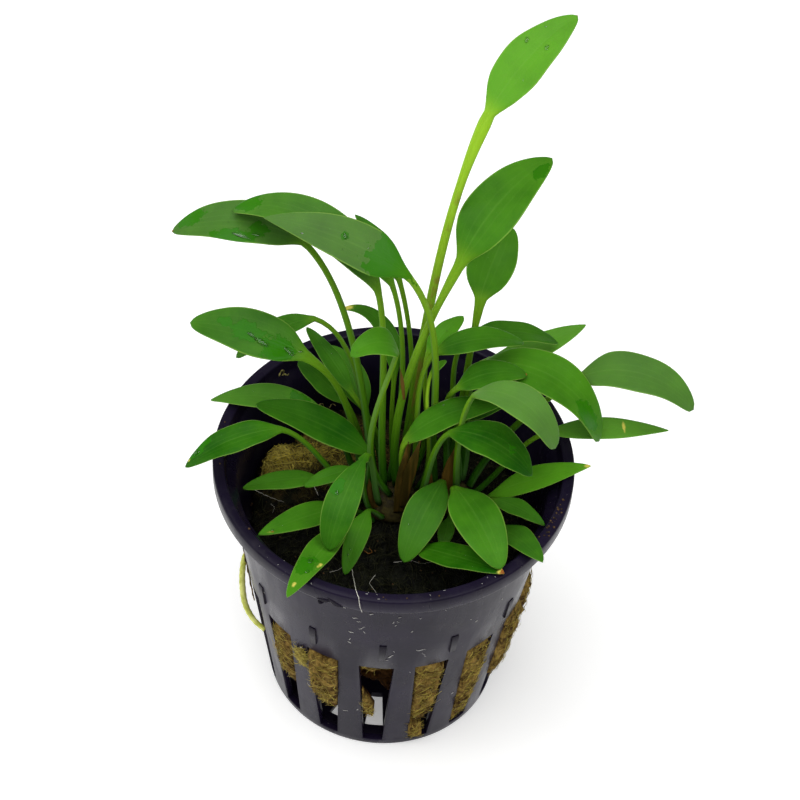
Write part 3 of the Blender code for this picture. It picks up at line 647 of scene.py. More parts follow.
HALF_ANGLES = {
    "opening": OPENING_HALF_ANGLE,
    "low": SLOT_HALF_ANGLE_BOTTOM,
    "high": SLOT_HALF_ANGLE_TOP,
    "even": SLOT_PITCH / 4,
}
BAR_SHARES = (0.0, 1 / 3, 2 / 3)
SLOT_SHARES = (-1.0, -0.5, 0.0, 0.5, 1.0)
SLOT_START = len(BAR_SHARES)
SLOT_END = SLOT_START + len(SLOT_SHARES) - 1


def column_offsets(half):
    """Angles from a slot's centre: the half bar before it, the slot itself and the half bar after it."""
    bar = SLOT_PITCH / 2 - half
    before = [-SLOT_PITCH / 2 + bar * share for share in BAR_SHARES]
    inside = [half * share for share in SLOT_SHARES]
    after = [half + bar * share for share in BAR_SHARES[1:]]
    return before + inside + after


def ring_band(bm, first, second, skip=()):
    count = len(first)
    for k in range(count):
        after = (k + 1) % count
        if k not in skip:
            bm.faces.new((first[k], first[after], second[after], second[k]))


def make_pot(material):
    bm = bmesh.new()
    profile = rounded_profile()
    rings = []
    for radius, z, kind in profile:
        ring = []
        for slot in range(SLOT_COUNT):
            for offset in column_offsets(HALF_ANGLES[kind]):
                ring.append(bm.verts.new(turned(slot_centre(slot) + offset, radius, z)))
        rings.append(ring)
    per_slot = len(rings[0]) // SLOT_COUNT
    open_columns = [per_slot * slot + k for slot in range(SLOT_COUNT) for k in range(SLOT_START, SLOT_END)]
    kinds = [row[2] for row in profile]
    slot_row = kinds.index("high") - 1
    inner_slot = len(kinds) - 1 - kinds[::-1].index("high")
    inner_opening = len(kinds) - 2
    for row in range(len(rings) - 1):
        with_holes = row in (0, slot_row, inner_slot, inner_opening)
        ring_band(bm, rings[row], rings[row + 1], open_columns if with_holes else ())
    bm.faces.new(rings[0][::-1])
    bm.faces.new(rings[-1])
    sharp = set()
    for low, high, in_low, in_high in (
        (rings[0], rings[1], rings[inner_opening + 1], rings[inner_opening]),
        (rings[slot_row], rings[slot_row + 1], rings[inner_slot + 1], rings[inner_slot]),
    ):
        for slot in range(SLOT_COUNT):
            columns = [per_slot * slot + k for k in range(SLOT_START, SLOT_END + 1)]
            outer = [low[k] for k in columns] + [high[k] for k in reversed(columns)]
            inner = [in_low[k] for k in columns] + [in_high[k] for k in reversed(columns)]
            ring_band(bm, outer, inner)
            for loop in (outer, inner):
                for one, other in zip(loop, loop[1:] + loop[:1]):
                    sharp.add(bm.edges.get((one, other)))
    bmesh.ops.bevel(
        bm,
        geom=list(sharp),
        offset=SLOT_ROUNDING,
        segments=2,
        profile=0.5,
        affect="EDGES",
        clamp_overlap=True,
    )
    mesh = bpy.data.meshes.new("pot_shell")
    bm.to_mesh(mesh)
    bm.free()
    mesh.materials.append(material)
    mesh.shade_smooth()
    mesh.set_sharp_from_angle(angle=math.radians(50))
    dress(add_object("pot_shell", mesh), "pot")


def make_nubs(material):
    """The small tabs on the wall, each a wedge with a sloping lower end, in a darker plastic that paints
    their shade.
    """
    shape = Shape()
    for count in range(NUB_COUNT):
        angle = FIRST_NUB + 360 / NUB_COUNT * count
        side = level_ways(turned(angle, 1.0, 0.0))[1]
        rings = []
        for z, proud, width in (
            (NUB_BOTTOM - 0.0006, -0.0001, 0.4),
            (NUB_BOTTOM, NUB_PROUD * 0.9, 0.85),
            (NUB_TOP - 0.0004, NUB_PROUD * 0.7, 1.0),
            (NUB_TOP, NUB_PROUD * 0.3, 1.0),
        ):
            half = side * (NUB_WIDTH / 2 * width)
            near = turned(angle, wall_radius(z) - NUB_SINK, z)
            far = turned(angle, wall_radius(z) + proud, z)
            rings.append([near - half, far - half * 0.86, far + half * 0.86, near + half])
        shape.loft(rings)
    nubs = shape.piece("pot_nubs", material)
    nubs.data.set_sharp_from_angle(angle=math.radians(35))


# Flakes that a cut left on the lip's outer face: first and last angle, first and last height, half width
BURRS = [
    (-111.0, -105.6, 0.0476, 0.0483, 0.00042),
    (-107.6, -102.4, 0.0487, 0.0474, 0.00050),
    (-110.6, -108.6, 0.0469, 0.0471, 0.00022),
]
BURR_STEPS = 10
BURR_SINK = 0.0002


def make_lip_burrs(material):
    shape = Shape()
    for start, end, z_start, z_end, wide in BURRS:
        rings = []
        for k in range(BURR_STEPS + 1):
            t = k / BURR_STEPS
            angle = start + (end - start) * t
            z = z_start + (z_end - z_start) * t
            half = wide * math.sin(math.pi * min(max(t, 0.03), 0.97)) ** 0.8
            lift = 0.00003 + 0.00022 * math.sin(math.pi * t)
            section = ((-BURR_SINK, -1.0), (lift, -0.9), (lift * 0.2, 0.2), (-BURR_SINK, 1.0))
            rings.append([turned(angle, RIM_RADIUS + out, z + half * up) for out, up in section])
        shape.loft(rings)
    # the burrs take the darker plastic: painted shade for the dark nick in the lip
    shape.piece("lip_burrs", material)


# The wool


def soft_noise(place, scale, octaves=3):
    return noise.fractal(place * scale, 0.6, 2.0, octaves)


def wool_low(angle):
    """The plug's lower end slants: high at the left, low at the front right."""
    turn = (angle + 180) % 360 - 180
    drop = WOOL_LOW_RIGHT - WOOL_LOW_LEFT
    if turn < 20:
        return WOOL_LOW_LEFT + drop * smooth_step(turn, -100, -72)
    return WOOL_LOW_RIGHT - drop * smooth_step(turn, 20, 110)


def recess_at(angle, z):
    """How far into the hollow behind the front slot a place on the plug's side is, from 0 to 1."""
    off_slot = abs((angle - slot_centre(0) + 180) % 360 - 180)
    return smooth_step(off_slot, 16, 10) * smooth_step(z, 0.0250, 0.0225)


def wool_side_radius(angle, z):
    away = math.radians(angle - WOOL_HOLLOW_AT)
    hollow = WOOL_FRONT_HOLLOW * max(0.0, math.cos(away)) ** 2 * smooth_step(z, 0.026, 0.034)
    return wall_radius(z) - WALL - WOOL_GAP - hollow - RECESS_DEPTH * recess_at(angle, z)


# Rises and hollows of the wool's top: height, then where each one is and how wide and deep
WOOL_HILLS = [
    (0.0016, -0.0170, 0.0080, 0.0060, 0.0045),
    (0.0034, -0.0205, 0.0085, 0.0035, 0.0045),
    (0.0042, -0.0120, 0.0190, 0.0055, 0.0035),
    (-0.0014, 0.0090, -0.0150, 0.0080, 0.0050),
]


def wool_top(x, y):
    """The height of the plug's top: flat in the middle, a tuft at the left and a wet front."""
    share = smooth_step(math.hypot(x, y), WOOL_FLAT_RADIUS, WOOL_EDGE_AT)
    z = WOOL_TOP - 0.0004 + (WOOL_EDGE_TOP - WOOL_TOP) * share
    for height, *where in WOOL_HILLS:
        z += height * hill(x, y, *where)
    z += 0.0011 * soft_noise(Vector((x, y, 0.3)), 260, 4) + 0.0005 * soft_noise(Vector((x, y, 0.7)), 900, 3)
    return z


def ochre_share(x, y):
    """Where the top's wool is dry and bright: a band at the left, behind the middle."""
    along = hill(x, y, -0.0190, 0.0086, 0.0052, 0.0032)
    behind = 0.40 * hill(x, y, -0.0085, 0.0100, 0.0065, 0.0040)
    return min(1.0, 1.25 * along + behind)


def wet_share(x, y):
    brown = 0.75 * hill(x, y, -0.0110, 0.0130, 0.0085, 0.0070)
    left = 0.08 * hill(x, y, -0.0150, 0.0010, 0.0060, 0.0040)
    holes = 1.1 * max(0.0, soft_noise(Vector((x, y, 0.9)), 420, 3))
    return clamp(1.0 + holes - 1.7 * ochre_share(x, y) - brown - left)


def make_wool(material):
    """The plug, from rows of points that each have a wet, an ochre and a painted-shade value."""
    angles = [360 / WOOL_COLUMNS * k for k in range(WOOL_COLUMNS)]
    rows = []
    for share in (0.02, 0.35, 0.7):
        row = []
        for angle in angles:
            place = turned(angle, UNDERSIDE_RADIUS * share, wool_low(angle) + UNDERSIDE_RISE)
            place.z += 0.0012 * soft_noise(place, 300)
            # the underside, inside the pot, is all painted shade
            row.append((place, 0.6, 0.0, 1.0))
        rows.append(row)
    for level in range(WOOL_LEVELS + 1):
        row = []
        for angle in angles:
            low = wool_low(angle)
            rim = turned(angle, wool_side_radius(angle, WOOL_EDGE_TOP), 0.0)
            z = low + (wool_top(rim.x, rim.y) - low) * level / WOOL_LEVELS
            radius = wool_side_radius(angle, z)
            dent = 0.0009 * soft_noise(turned(angle, radius, z), 420, 4)
            radius += min(0.0001, dent - 0.0003) - 0.0012 * (1 - smooth_step(level, 0, 3))
            # painted shade in the hollow behind the front slot and towards the plug's foot
            deep = max(recess_at(angle, z), smooth_step(z, 0.0085, 0.0045) * 0.6)
            row.append((turned(angle, radius, z), smooth_step(z, 0.028, 0.033), 0.0, deep))
        rows.append(row)
    for step in range(1, WOOL_TOP_STEPS):
        row = []
        for angle in angles:
            edge = wool_side_radius(angle, WOOL_EDGE_TOP) - 0.0004
            x, y, _ = turned(angle, edge * (1 - step / WOOL_TOP_STEPS), 0.0)
            row.append((Vector((x, y, wool_top(x, y))), wet_share(x, y), ochre_share(x, y), 0.0))
        rows.append(row)
    wet, ochre, deep = ([point[k] for row in rows for point in row] for k in (1, 2, 3))
    shape = Shape()
    shape.loft([[point[0] for point in row] for row in rows], wool_wet=wet, wool_ochre=ochre, wool_deep=deep)
    shape.piece("wool_plug", material, "wool")


# One bulge of wool in a slot: its left and right ends, as shares of the slot's half width, the heights
# of its corners, how far it stands proud of the wall, how dark it is, partly painted shade and most for the
# recessed ones, and the radius that it starts from
BULGE_FIELDS = "slot left right low_left low_right high_left high_right proud dark inner"
Bulge = namedtuple("Bulge", BULGE_FIELDS, defaults=(LOBE_INNER_RADIUS,))
BULGE_COLUMNS = 18
BULGE_ROWS = 44
BULGES = [
    Bulge(-3, -1.0, 1.0, 0.0120, 0.0110, 0.0245, 0.0250, -0.0012, 0.5),
    Bulge(-2, -1.0, 1.0, 0.0108, 0.0104, 0.0235, 0.0262, 0.0003, 0.0),
    Bulge(-1, -1.0, 1.0, 0.0116, 0.0098, 0.0262, 0.0256, 0.0012, 0.05),
    Bulge(0, -1.0, 1.0, 0.0236, 0.0250, 0.0262, 0.0262, -0.0009, 0.1),
    Bulge(0, -1.0, -0.02, 0.0106, 0.0090, 0.0172, 0.0122, 0.0000, 0.0, 0.0192),
    Bulge(1, -1.0, 1.0, 0.0070, 0.0088, 0.0262, 0.0262, 0.0001, 0.12),
    Bulge(1, -1.18, 0.25, 0.0026, 0.0020, 0.0078, 0.0060, 0.0006, 0.0),
    Bulge(2, -1.0, 1.0, 0.0020, 0.0034, 0.0262, 0.0262, 0.0005, 0.0),
    Bulge(3, -1.0, 1.0, 0.0078, 0.0084, 0.0262, 0.0262, 0.0010, 0.0),
    Bulge(4, -1.0, 1.0, 0.0090, 0.0080, 0.0262, 0.0262, 0.0014, 0.1),
    Bulge(5, -1.0, 1.0, 0.0110, 0.0100, 0.0250, 0.0262, -0.0004, 0.2),
    Bulge(7, -1.0, 1.0, 0.0100, 0.0120, 0.0262, 0.0250, 0.0001, 0.2),
    Bulge(9, -1.0, 1.0, 0.0120, 0.0100, 0.0255, 0.0262, -0.0005, 0.3),
]


def bulge_point(bulge, u, v):
    """A place on a bulge's face: u runs from 0 at its left to 1 at its right, v from 0 at its foot to 1."""
    low = bulge.low_left + (bulge.low_right - bulge.low_left) * u
    high = bulge.high_left + (bulge.high_right - bulge.high_left) * u
    wobble = 0.0006 * soft_noise(Vector((u * 4, bulge.slot * 3.1, bulge.left)), 1.0, 3)
    z = low + wobble * (1 - v) + (high - low) * v
    reach = bulge.left + (bulge.right - bulge.left) * u
    centre = slot_centre(bulge.slot)
    half = slot_half_angle(min(z, SLOT_TOP)) - 0.25
    ends = math.sin(math.pi * min(max(v, 0.0), 1.0)) ** 0.35 if 0 < v < 1 else 0.0
    sides = (1 - abs(2 * u - 1) ** 5) ** 0.5 if 0 < u < 1 else 0.0
    over = 1.0 + 0.12 * max(0.0, bulge.proud / 0.0012) * ends * sides
    place = turned(centre + half * reach * over, wall_radius(z), z)
    swell = bulge.proud * ends * (0.35 + 0.65 * sides) - 0.0008 * (1 - ends * sides)
    swell += 0.00055 * soft_noise(place, 520, 4) * sides
    return turned(centre + half * reach * over, wall_radius(z) + swell, z)


def make_bulges(material):
    shape = Shape()
    for bulge in BULGES:
        rings = []
        dark = []
        for j in range(BULGE_ROWS + 1):
            v = j / BULGE_ROWS
            ring = [bulge_point(bulge, i / BULGE_COLUMNS, v) for i in range(BULGE_COLUMNS + 1)]
            # painted shade towards each bulge's foot; the noise adds darker brown patches of the wool's own
            fade = smooth_step(v, 0.22, 0.0) * 0.35
            for point in ring:
                shade = 0.5 + 0.5 * soft_noise(point, 340, 3)
                dark.append(clamp(bulge.dark + 0.55 * smooth_step(shade, 0.42, 0.85) + fade))
            centre = sum(ring, Vector()) / len(ring)
            back = bulge.inner / math.hypot(centre.x, centre.y)
            # the sides that run back into the pot are wholly painted shade
            for point in (ring[-1], ring[0]):
                ring.append(Vector((point.x * back, point.y * back, point.z)))
                dark.append(1.0)
            rings.append(ring)
        shape.loft(rings, wool_deep=dark)
    shape.piece("wool_bulges", material)


def add_fibre(shape, draw, place, normal, length, radius, loft, tone, wet, across=None):
    """One thin curved fibre that starts on a surface and lies along it."""
    spin = draw.uniform(0, math.tau)
    flat = normal.orthogonal().normalized()
    flat = flat * math.cos(spin) + normal.cross(flat) * math.sin(spin)
    if across is not None:
        flat = (flat * 0.7 + across).normalized()
    bend = normal.cross(flat) * draw.uniform(-0.35, 0.35)
    route = []
    for k in range(len(FIBRE_TAPER)):
        t = k / (len(FIBRE_TAPER) - 1)
        rise = loft * math.sin(math.pi * min(1.0, t * 0.9 + 0.05)) + 0.00002
        jitter = draw.uniform(-0.04, 0.04) * length
        aside = length * (t - 0.5) ** 2 * 2 + jitter * 0.4
        route.append(place + flat * (length * (t - 0.5)) + bend * aside + normal * rise)
    shape.tube(route, [radius * share for share in FIBRE_TAPER], 3, fibre_tone=tone, wool_wet=wet)


def make_top_fibres(material):
    draw = random.Random(11)
    shape = Shape()
    made = 0
    while made < TOP_FIBRES:
        angle = draw.uniform(0, 360)
        radius = TOP_FIBRE_REACH * math.sqrt(draw.random())
        x, y, _ = turned(angle, radius, 0.0)
        if math.hypot(x, y) < STEM_CLEARANCE:
            continue
        ochre = ochre_share(x, y)
        wet = wet_share(x, y)
        if draw.random() > 0.30 + 1.4 * ochre + 0.5 * (1 - wet):
            continue
        made += 1
        slope_x = (wool_top(x + SLOPE_STEP, y) - wool_top(x - SLOPE_STEP, y)) / (2 * SLOPE_STEP)
        slope_y = (wool_top(x, y + SLOPE_STEP) - wool_top(x, y - SLOPE_STEP)) / (2 * SLOPE_STEP)
        normal = Vector((-slope_x, -slope_y, 1.0)).normalized()
        lift = draw.uniform(0.0001, 0.0009) * (0.6 + 0.8 * ochre)
        length = draw.uniform(0.0010, 0.0042) * (1 + 0.5 * ochre)
        length = min(length, 1.6 * (INSIDE_RADIUS - radius))
        tone = clamp(draw.gauss(0.30 + 0.42 * ochre, 0.26 + 0.16 * ochre))
        thick = draw.uniform(0.000022, 0.00005) * (1 + 1.4 * ochre)
        place = Vector((x, y, wool_top(x, y)))
        add_fibre(shape, draw, place, normal, length, thick, lift, tone, wet)
    shape.piece("wool_top_fibres", material)


def make_slot_fibres(material):
    draw = random.Random(23)
    shape = Shape()
    for bulge in BULGES:
        height = bulge.high_left - bulge.low_left
        share = (bulge.right - bulge.left) / 2
        for _ in range(int(SLOT_FIBRES_PER_METRE * height * share)):
            u = draw.uniform(0.04, 0.96)
            v = draw.uniform(0.02, 0.98)
            place = bulge_point(bulge, u, v)
            normal, across = level_ways(place)
            across = across * draw.choice((-1, 1)) * draw.uniform(0.2, 1.2)
            # fibres are darker on bulges with more painted shade
            tone = clamp(draw.gauss(0.34 - 0.25 * bulge.dark, 0.22))
            length = draw.uniform(0.0008, 0.0026)
            if u < 0.1 or u > 0.9:
                length *= 0.5
            lift = draw.uniform(0.00003, 0.00035)
            thick = draw.uniform(0.000022, 0.00004)
            add_fibre(shape, draw, place, normal, length, thick, lift, tone, 0.0, across)
    shape.piece("wool_slot_fibres", material)


def make_bar_tuft(material):
    """The ragged tuft that laps over the bar at the left of the second slot."""
    draw = random.Random(5)
    shape = Shape()
    for _ in range(TUFT_FIBRES):
        z = draw.gauss(0.0226, 0.0011)
        angle = -122.0 - abs(draw.gauss(0.0, 2.2))
        place = turned(angle, wall_radius(z) + draw.uniform(0.0, 0.0005), z)
        normal, across = level_ways(place)
        across.z = 0.25
        length = draw.uniform(0.0006, 0.0022)
        tone = draw.uniform(0.25, 0.75)
        thick = draw.uniform(0.00003, 0.00006)
        add_fibre(shape, draw, place, normal, length, thick, 0.0002, tone, 0.15, across)
    shape.piece("bar_tuft", material)


# The plant


def scaled(vector, by):
    return Vector((vector.x * by.x, vector.y * by.y, vector.z * by.z))


def divided(vector, by):
    return Vector((vector.x / by.x, vector.y / by.y, vector.z / by.z))


def crown_frame(name):
    crown = CROWNS[name]
    return Vector((crown.x, crown.y, crown.z)), Vector((crown.radius_x, crown.radius_y, crown.height))


def foot_directions(leaves, centre, radii):
    """One direction on a unit dome for each leaf: upright leaves near its top, low ones near its edge."""

    def lean(leaf):
        reach = Vector(leaf.base) - centre
        return math.atan2(math.hypot(reach.x, reach.y), reach.z - FOOT_LIFT)

    ranked = sorted(leaves, key=lean)
    units = []
    for rank, leaf in enumerate(ranked):
        reach = Vector(leaf.base) - centre
        around = math.atan2(reach.y, reach.x)
        up = 1 - (rank + 0.5) / len(ranked) * FOOT_LEAN_SHARE
        out = math.sqrt(1 - up * up)
        units.append(Vector((out * math.cos(around), out * math.sin(around), up)))
    mean_radius = (radii.x + radii.y + radii.z) / 3
    for _ in range(FOOT_ROUNDS):
        pushes = [Vector() for _ in units]
        for i, one in enumerate(units):
            for j in range(i):
                apart = scaled(one - units[j], radii)
                distance = max(apart.length, 1e-9)
                if distance < FOOT_SPACING:
                    push = apart / distance * (FOOT_SPACING - distance) / 4 / mean_radius
                    pushes[i] += push
                    pushes[j] -= push
        units = [unit + push for unit, push in zip(units, pushes)]
        for unit in units:
            unit.z = max(unit.z, FOOT_LOWEST)
            unit.normalize()
    return zip(ranked, units)


def leaf_feet():
    feet = {}
    for name in CROWNS:
        centre, radii = crown_frame(name)
        mine = [leaf for leaf in LEAVES if leaf.crown == name]
        for leaf, unit in foot_directions(mine, centre, radii):
            outward = divided(unit, radii).normalized()
            feet[leaf.name] = (centre + scaled(unit, radii) + outward * FOOT_GAP, outward)
    return feet


def heading_vector(heading, pitch):
    h = math.radians(heading)
    p = math.radians(pitch)
    return Vector((math.cos(h) * math.cos(p), math.sin(h) * math.cos(p), math.sin(p)))


def blade_direction(leaf, t):
    return heading_vector(leaf.heading + leaf.turn * t, leaf.rise + (leaf.fall - leaf.rise) * t)


def blade_points(leaf, steps):
    """Points along the blade's midrib, from its base to its tip."""
    points = [Vector(leaf.base)]
    stride = leaf.length / steps / FINE_STEPS
    for k in range(steps):
        point = points[-1].copy()
        for j in range(FINE_STEPS):
            point += blade_direction(leaf, (k + (j + 0.5) / FINE_STEPS) / steps) * stride
        points.append(point)
    return points


def petiole_curve(leaf, foot, outward):
    """The four control points of the petiole's Bezier curve."""
    base = Vector(leaf.base)
    chord = base - foot
    reach = chord.length
    chord = chord / reach
    start = (outward * FOOT_OUTWARD + chord * (1 - FOOT_OUTWARD)).normalized()
    forward = heading_vector(leaf.heading, leaf.rise)
    end = (forward * BASE_FORWARD + chord * (1 - BASE_FORWARD)).normalized()
    bow = Vector((*leaf.bow, 0.0))
    low = foot + start * reach * LOW_REACH + bow * LOW_BOW
    high = base - end * reach * HIGH_REACH + bow * HIGH_BOW
    return foot, low, high, base


def bezier(points, t):
    a, b, c, d = points
    s = 1 - t
    place = a * s**3 + b * (3 * s * s * t) + c * (3 * s * t * t) + d * t**3
    way = (b - a) * (s * s) + (c - b) * (2 * s * t) + (d - c) * (t * t)
    return place, way.normalized()


def level_side(heading):
    return Vector((-math.sin(math.radians(heading)), math.cos(math.radians(heading)), 0.0))


def rolled(side, up, degrees):
    a = math.radians(degrees)
    return side * math.cos(a) + up * math.sin(a), up * math.cos(a) - side * math.sin(a)


def half_width(leaf, t):
    bluntness = SHARP_TIP - TIP_FILL * FULLNESS.get(leaf.name, USUAL_FULLNESS) * t
    belly = BELLY.get(leaf.name, USUAL_BELLY)
    return leaf.width / 2 * math.sin(math.pi * min(t, 1.0) ** belly) ** bluntness


# Places across a leaf's upper side, from its left margin to its right one
ACROSS = (1.0, 0.965, 0.9, 0.8, 0.68, 0.54, 0.4, 0.27, 0.16, 0.07, 0.0)
ACROSS = ACROSS + tuple(-share for share in reversed(ACROSS[:-1]))
BLADE_STEPS = 44
BLADE_THICK = 0.00017
MARGIN_THICK = 0.00005
MIDRIB_DEPTH = 0.00003
MIDRIB_WIDTH = 0.00028
KEEL_DEPTH = 0.00030
KEEL_WIDTH = 0.00035
TIP_WIDTH = 0.00004
PETIOLE_STRIDE = 0.0016
NECK_REACH = 0.22

# A flat stalk's width as a share of the usual round one's
STALK_WIDTH = {"tall_1": 1.4}

# How bright each leaf's green is, how yellow its stalk is and how much painted sheen greys its blade, from 0
# to 1
TONES = {
    "tall_1": (0.92, 0.90, 0.20),
    "tall_2": (0.45, 0.50, 0.05),
    "tall_3": (0.50, 0.45, 0.05),
    "high_left_1": (0.20, 0.30, 0.40),
    "high_left_2": (0.30, 0.40, 0.25),
    "high_left_3": (0.17, 0.50, 0.60),
    "mid_left_1": (0.38, 0.35, 0.15),
    "mid_left_6": (0.50, 0.45, 0.05),
    "mid_left_7": (0.38, 0.35, 0.05),
    "left_1": (0.20, 0.10, 0.03),
    "left_2": (0.62, 0.25, 0.25),
    "left_3": (0.14, 0.20, 0.00),
    "right_1": (0.50, 0.30, 0.05),
    "right_2": (0.34, 0.40, 0.05),
    "right_3": (0.42, 0.40, 0.60),
    "right_4": (0.42, 0.30, 0.50),
    "right_5": (0.95, 0.35, 0.40),
    "right_6": (0.95, 0.35, 0.05),
    "right_7": (0.18, 0.25, 0.02),
    "back_right_2": (0.90, 0.50, 0.30),
    "inner_1": (0.70, 0.60, 0.05),
    "inner_2": (0.34, 0.45, 0.05),
    "inner_3": (0.42, 0.55, 0.05),
    "front_1": (0.22, 0.25, 0.10),
    "front_2": (0.40, 0.30, 0.05),
    "front_3": (0.26, 0.20, 0.05),
    "front_4": (0.52, 0.30, 0.05),
    "front_5": (0.40, 0.25, 0.05),
    "front_6": (0.10, 0.15, 0.00),
    "left_6": (0.40, 0.20, 0.05),
    "new_leaf": (1.00, 1.00, 0.05),
}
USUAL_TONE = (0.36, 0.35, 0.08)

# Patches on blades, by kind: the leaf, how far along and across it, its half length and half width as
# shares of the blade, and how strong it is
PATCHES = {
    "wet": [
        ("high_left_1", 0.84, -0.45, 0.10, 0.55, 1.0),
        ("high_left_1", 0.50, 0.75, 0.16, 0.35, 1.0),
        ("high_left_1", 0.32, 0.30, 0.07, 0.45, 0.8),
        ("high_left_2", 0.90, -0.20, 0.10, 0.90, 0.9),
        ("high_left_2", 0.62, 0.60, 0.06, 0.40, 0.7),
        ("high_left_3", 0.12, 0.05, 0.16, 1.50, 1.1),
        ("high_left_3", 0.47, -0.15, 0.03, 0.20, 0.9),
        ("mid_left_1", 0.50, 0.00, 0.16, 0.42, 0.9),
        ("mid_left_1", 0.22, 0.35, 0.14, 0.70, 1.0),
        ("mid_left_1", 0.70, -0.25, 0.07, 0.35, 0.8),
        ("left_3", 0.82, -0.65, 0.14, 0.50, 1.0),
        ("left_2", 0.22, -0.45, 0.12, 0.55, 0.8),
        ("right_1", 0.80, -0.25, 0.12, 0.60, 1.0),
        ("front_3", 0.45, -0.62, 0.09, 0.40, 1.0),
        ("front_4", 0.66, -0.10, 0.12, 0.70, 0.9),
        ("tall_2", 0.86, -0.45, 0.08, 0.45, 1.0),
        ("right_7", 0.70, 0.20, 0.12, 0.50, 0.5),
    ],
    "yellow": [
        ("front_4", 0.88, -0.15, 0.030, 0.35, 0.8),
        ("front_4", 0.62, 0.75, 0.05, 0.20, 0.7),
        ("mid_left_7", 0.97, 0.0, 0.10, 1.2, 1.0),
        ("right_6", 0.99, 0.0, 0.05, 1.0, 1.0),
        ("right_5", 0.62, 0.10, 0.012, 0.7, 1.1),
        ("left_3", 0.93, -0.60, 0.03, 0.25, 0.7),
        ("front_6", 0.98, 0.0, 0.045, 1.2, 0.9),
        ("left_6", 0.88, 0.50, 0.05, 0.45, 0.5),
    ],
    "brown": [
        ("front_6", 1.0, 0.0, 0.030, 1.2, 1.3),
        ("right_2", 1.0, 0.0, 0.025, 1.0, 0.9),
        ("high_left_1", 1.0, 0.0, 0.018, 1.0, 0.9),
        ("left_6", 0.86, 0.55, 0.02, 0.2, 0.8),
        ("tall_1", 1.0, 0.0, 0.008, 1.0, 0.8),
    ],
}
PATCH_FALL = 0.69

# The leaf with a brown streak down its stalk
STREAKED = "tall_1"


def patch_value(kind, name, along, across):
    value = 0.0
    for leaf, t, s, half_long, half_wide, strength in PATCHES[kind]:
        if leaf == name:
            away = ((along - t) / half_long) ** 2 + ((across - s) / half_wide) ** 2
            value = max(value, strength * math.exp(-away * PATCH_FALL))
    return value


def fine_half_width(leaf, t, neck):
    """As the solid's outline, but its lower end draws in smoothly to the stalk."""
    full = half_width(leaf, t)
    if t < NECK_REACH:
        early = neck + (half_width(leaf, NECK_REACH) - neck) * smooth_step(t, -0.05, NECK_REACH * 1.12)
        return max(neck, min(full, early) if t > 0.1 else early)
    return max(full, TIP_WIDTH)


def leaf_frames(leaf, foot, outward):
    """Rows along the leaf: place, side, up, half width, half thickness at the middle, and the row's value."""
    stalk = PETIOLE_RADIUS_LEAST + PETIOLE_RADIUS_SHARE * leaf.width
    curve = petiole_curve(leaf, foot, outward)
    flat = level_side(leaf.heading)
    reach = (Vector(leaf.base) - foot).length
    petiole_steps = max(8, min(30, int(reach / PETIOLE_STRIDE)))
    widen = BROAD_WING if leaf.name in BROAD_NECKS else USUAL_WING
    rows = []
    for k in range(petiole_steps):
        t = k / petiole_steps
        place, way = bezier(curve, t)
        side = (flat - way * way.dot(flat)).normalized()
        side, up = rolled(side, way.cross(side), leaf.roll * t * t)
        radius = stalk * (FOOT_SWELL + (NECK_TAPER - FOOT_SWELL) * t)
        wing = 1 + (widen - 1) * smooth_step(t, 0.75, 1.0)
        rows.append((place, side, up, radius * wing * STALK_WIDTH.get(leaf.name, 1.0), radius, t - 1.0))
    neck = stalk * NECK_TAPER
    for k, place in enumerate(blade_points(leaf, BLADE_STEPS)):
        t = k / BLADE_STEPS
        side = level_side(leaf.heading + leaf.turn * t)
        side, up = rolled(side, blade_direction(leaf, t).cross(side), leaf.roll)
        rows.append((place, side, up, fine_half_width(leaf, t, neck * widen), neck, t))
    return rows


def leaf_section(leaf, row, wave):
    """One closed ring of points across the leaf, upper side first, with its values."""
    place, side, up, wide, thick, along = row
    blade = smooth_step(along, -0.02, 0.30)
    fold = math.tan(FOLD) * min(1.0, max(0.0, 4 * along))
    rib = thick * (1 - smooth_step(along, 0.0, 0.55)) * 0.75
    upper = []
    lower = []
    for share in ACROSS:
        round_off = math.sqrt(max(0.0, 1 - share * share))
        flat_off = max(0.0, 1 - share**8) ** 0.5
        body = thick * round_off
        sheet = MARGIN_THICK + (BLADE_THICK - MARGIN_THICK) * flat_off
        hump = rib * math.exp(-((share * wide / max(thick, 1e-6)) ** 2))
        over = body * (1 - blade) + (sheet * flat_off + hump * 0.45) * blade
        beneath = body * (1 - blade) + (sheet * flat_off + hump) * blade
        groove = MIDRIB_DEPTH * math.exp(-((share * wide / MIDRIB_WIDTH) ** 2)) * blade * (1 - along * 0.7)
        keel = KEEL_DEPTH * math.exp(-((share * wide / KEEL_WIDTH) ** 2)) * blade * max(0.0, 1 - along) ** 0.7
        channel = 0.16 * body * smooth_step(abs(share), 0.5, 0.0) * (1 - blade)
        bend = fold * wide * abs(share) ** 1.5
        phase = wave[0] if share > 0 else wave[1]
        ripple = wave[2] * wide * share * share * math.sin(math.tau * (along * wave[3] + phase)) * blade
        ripple *= math.sin(math.pi * min(1.0, max(0.0, along)))
        middle = place + side * (wide * share) + up * (bend + ripple)
        upper.append(middle + up * (over - groove - channel))
        lower.append(middle - up * (beneath + keel))
    ring = upper + lower[-2:0:-1]
    across = list(ACROSS) + list(ACROSS[-2:0:-1])
    under = [0.0] * len(ACROSS) + [1.0] * (len(ACROSS) - 2)
    return ring, across, under


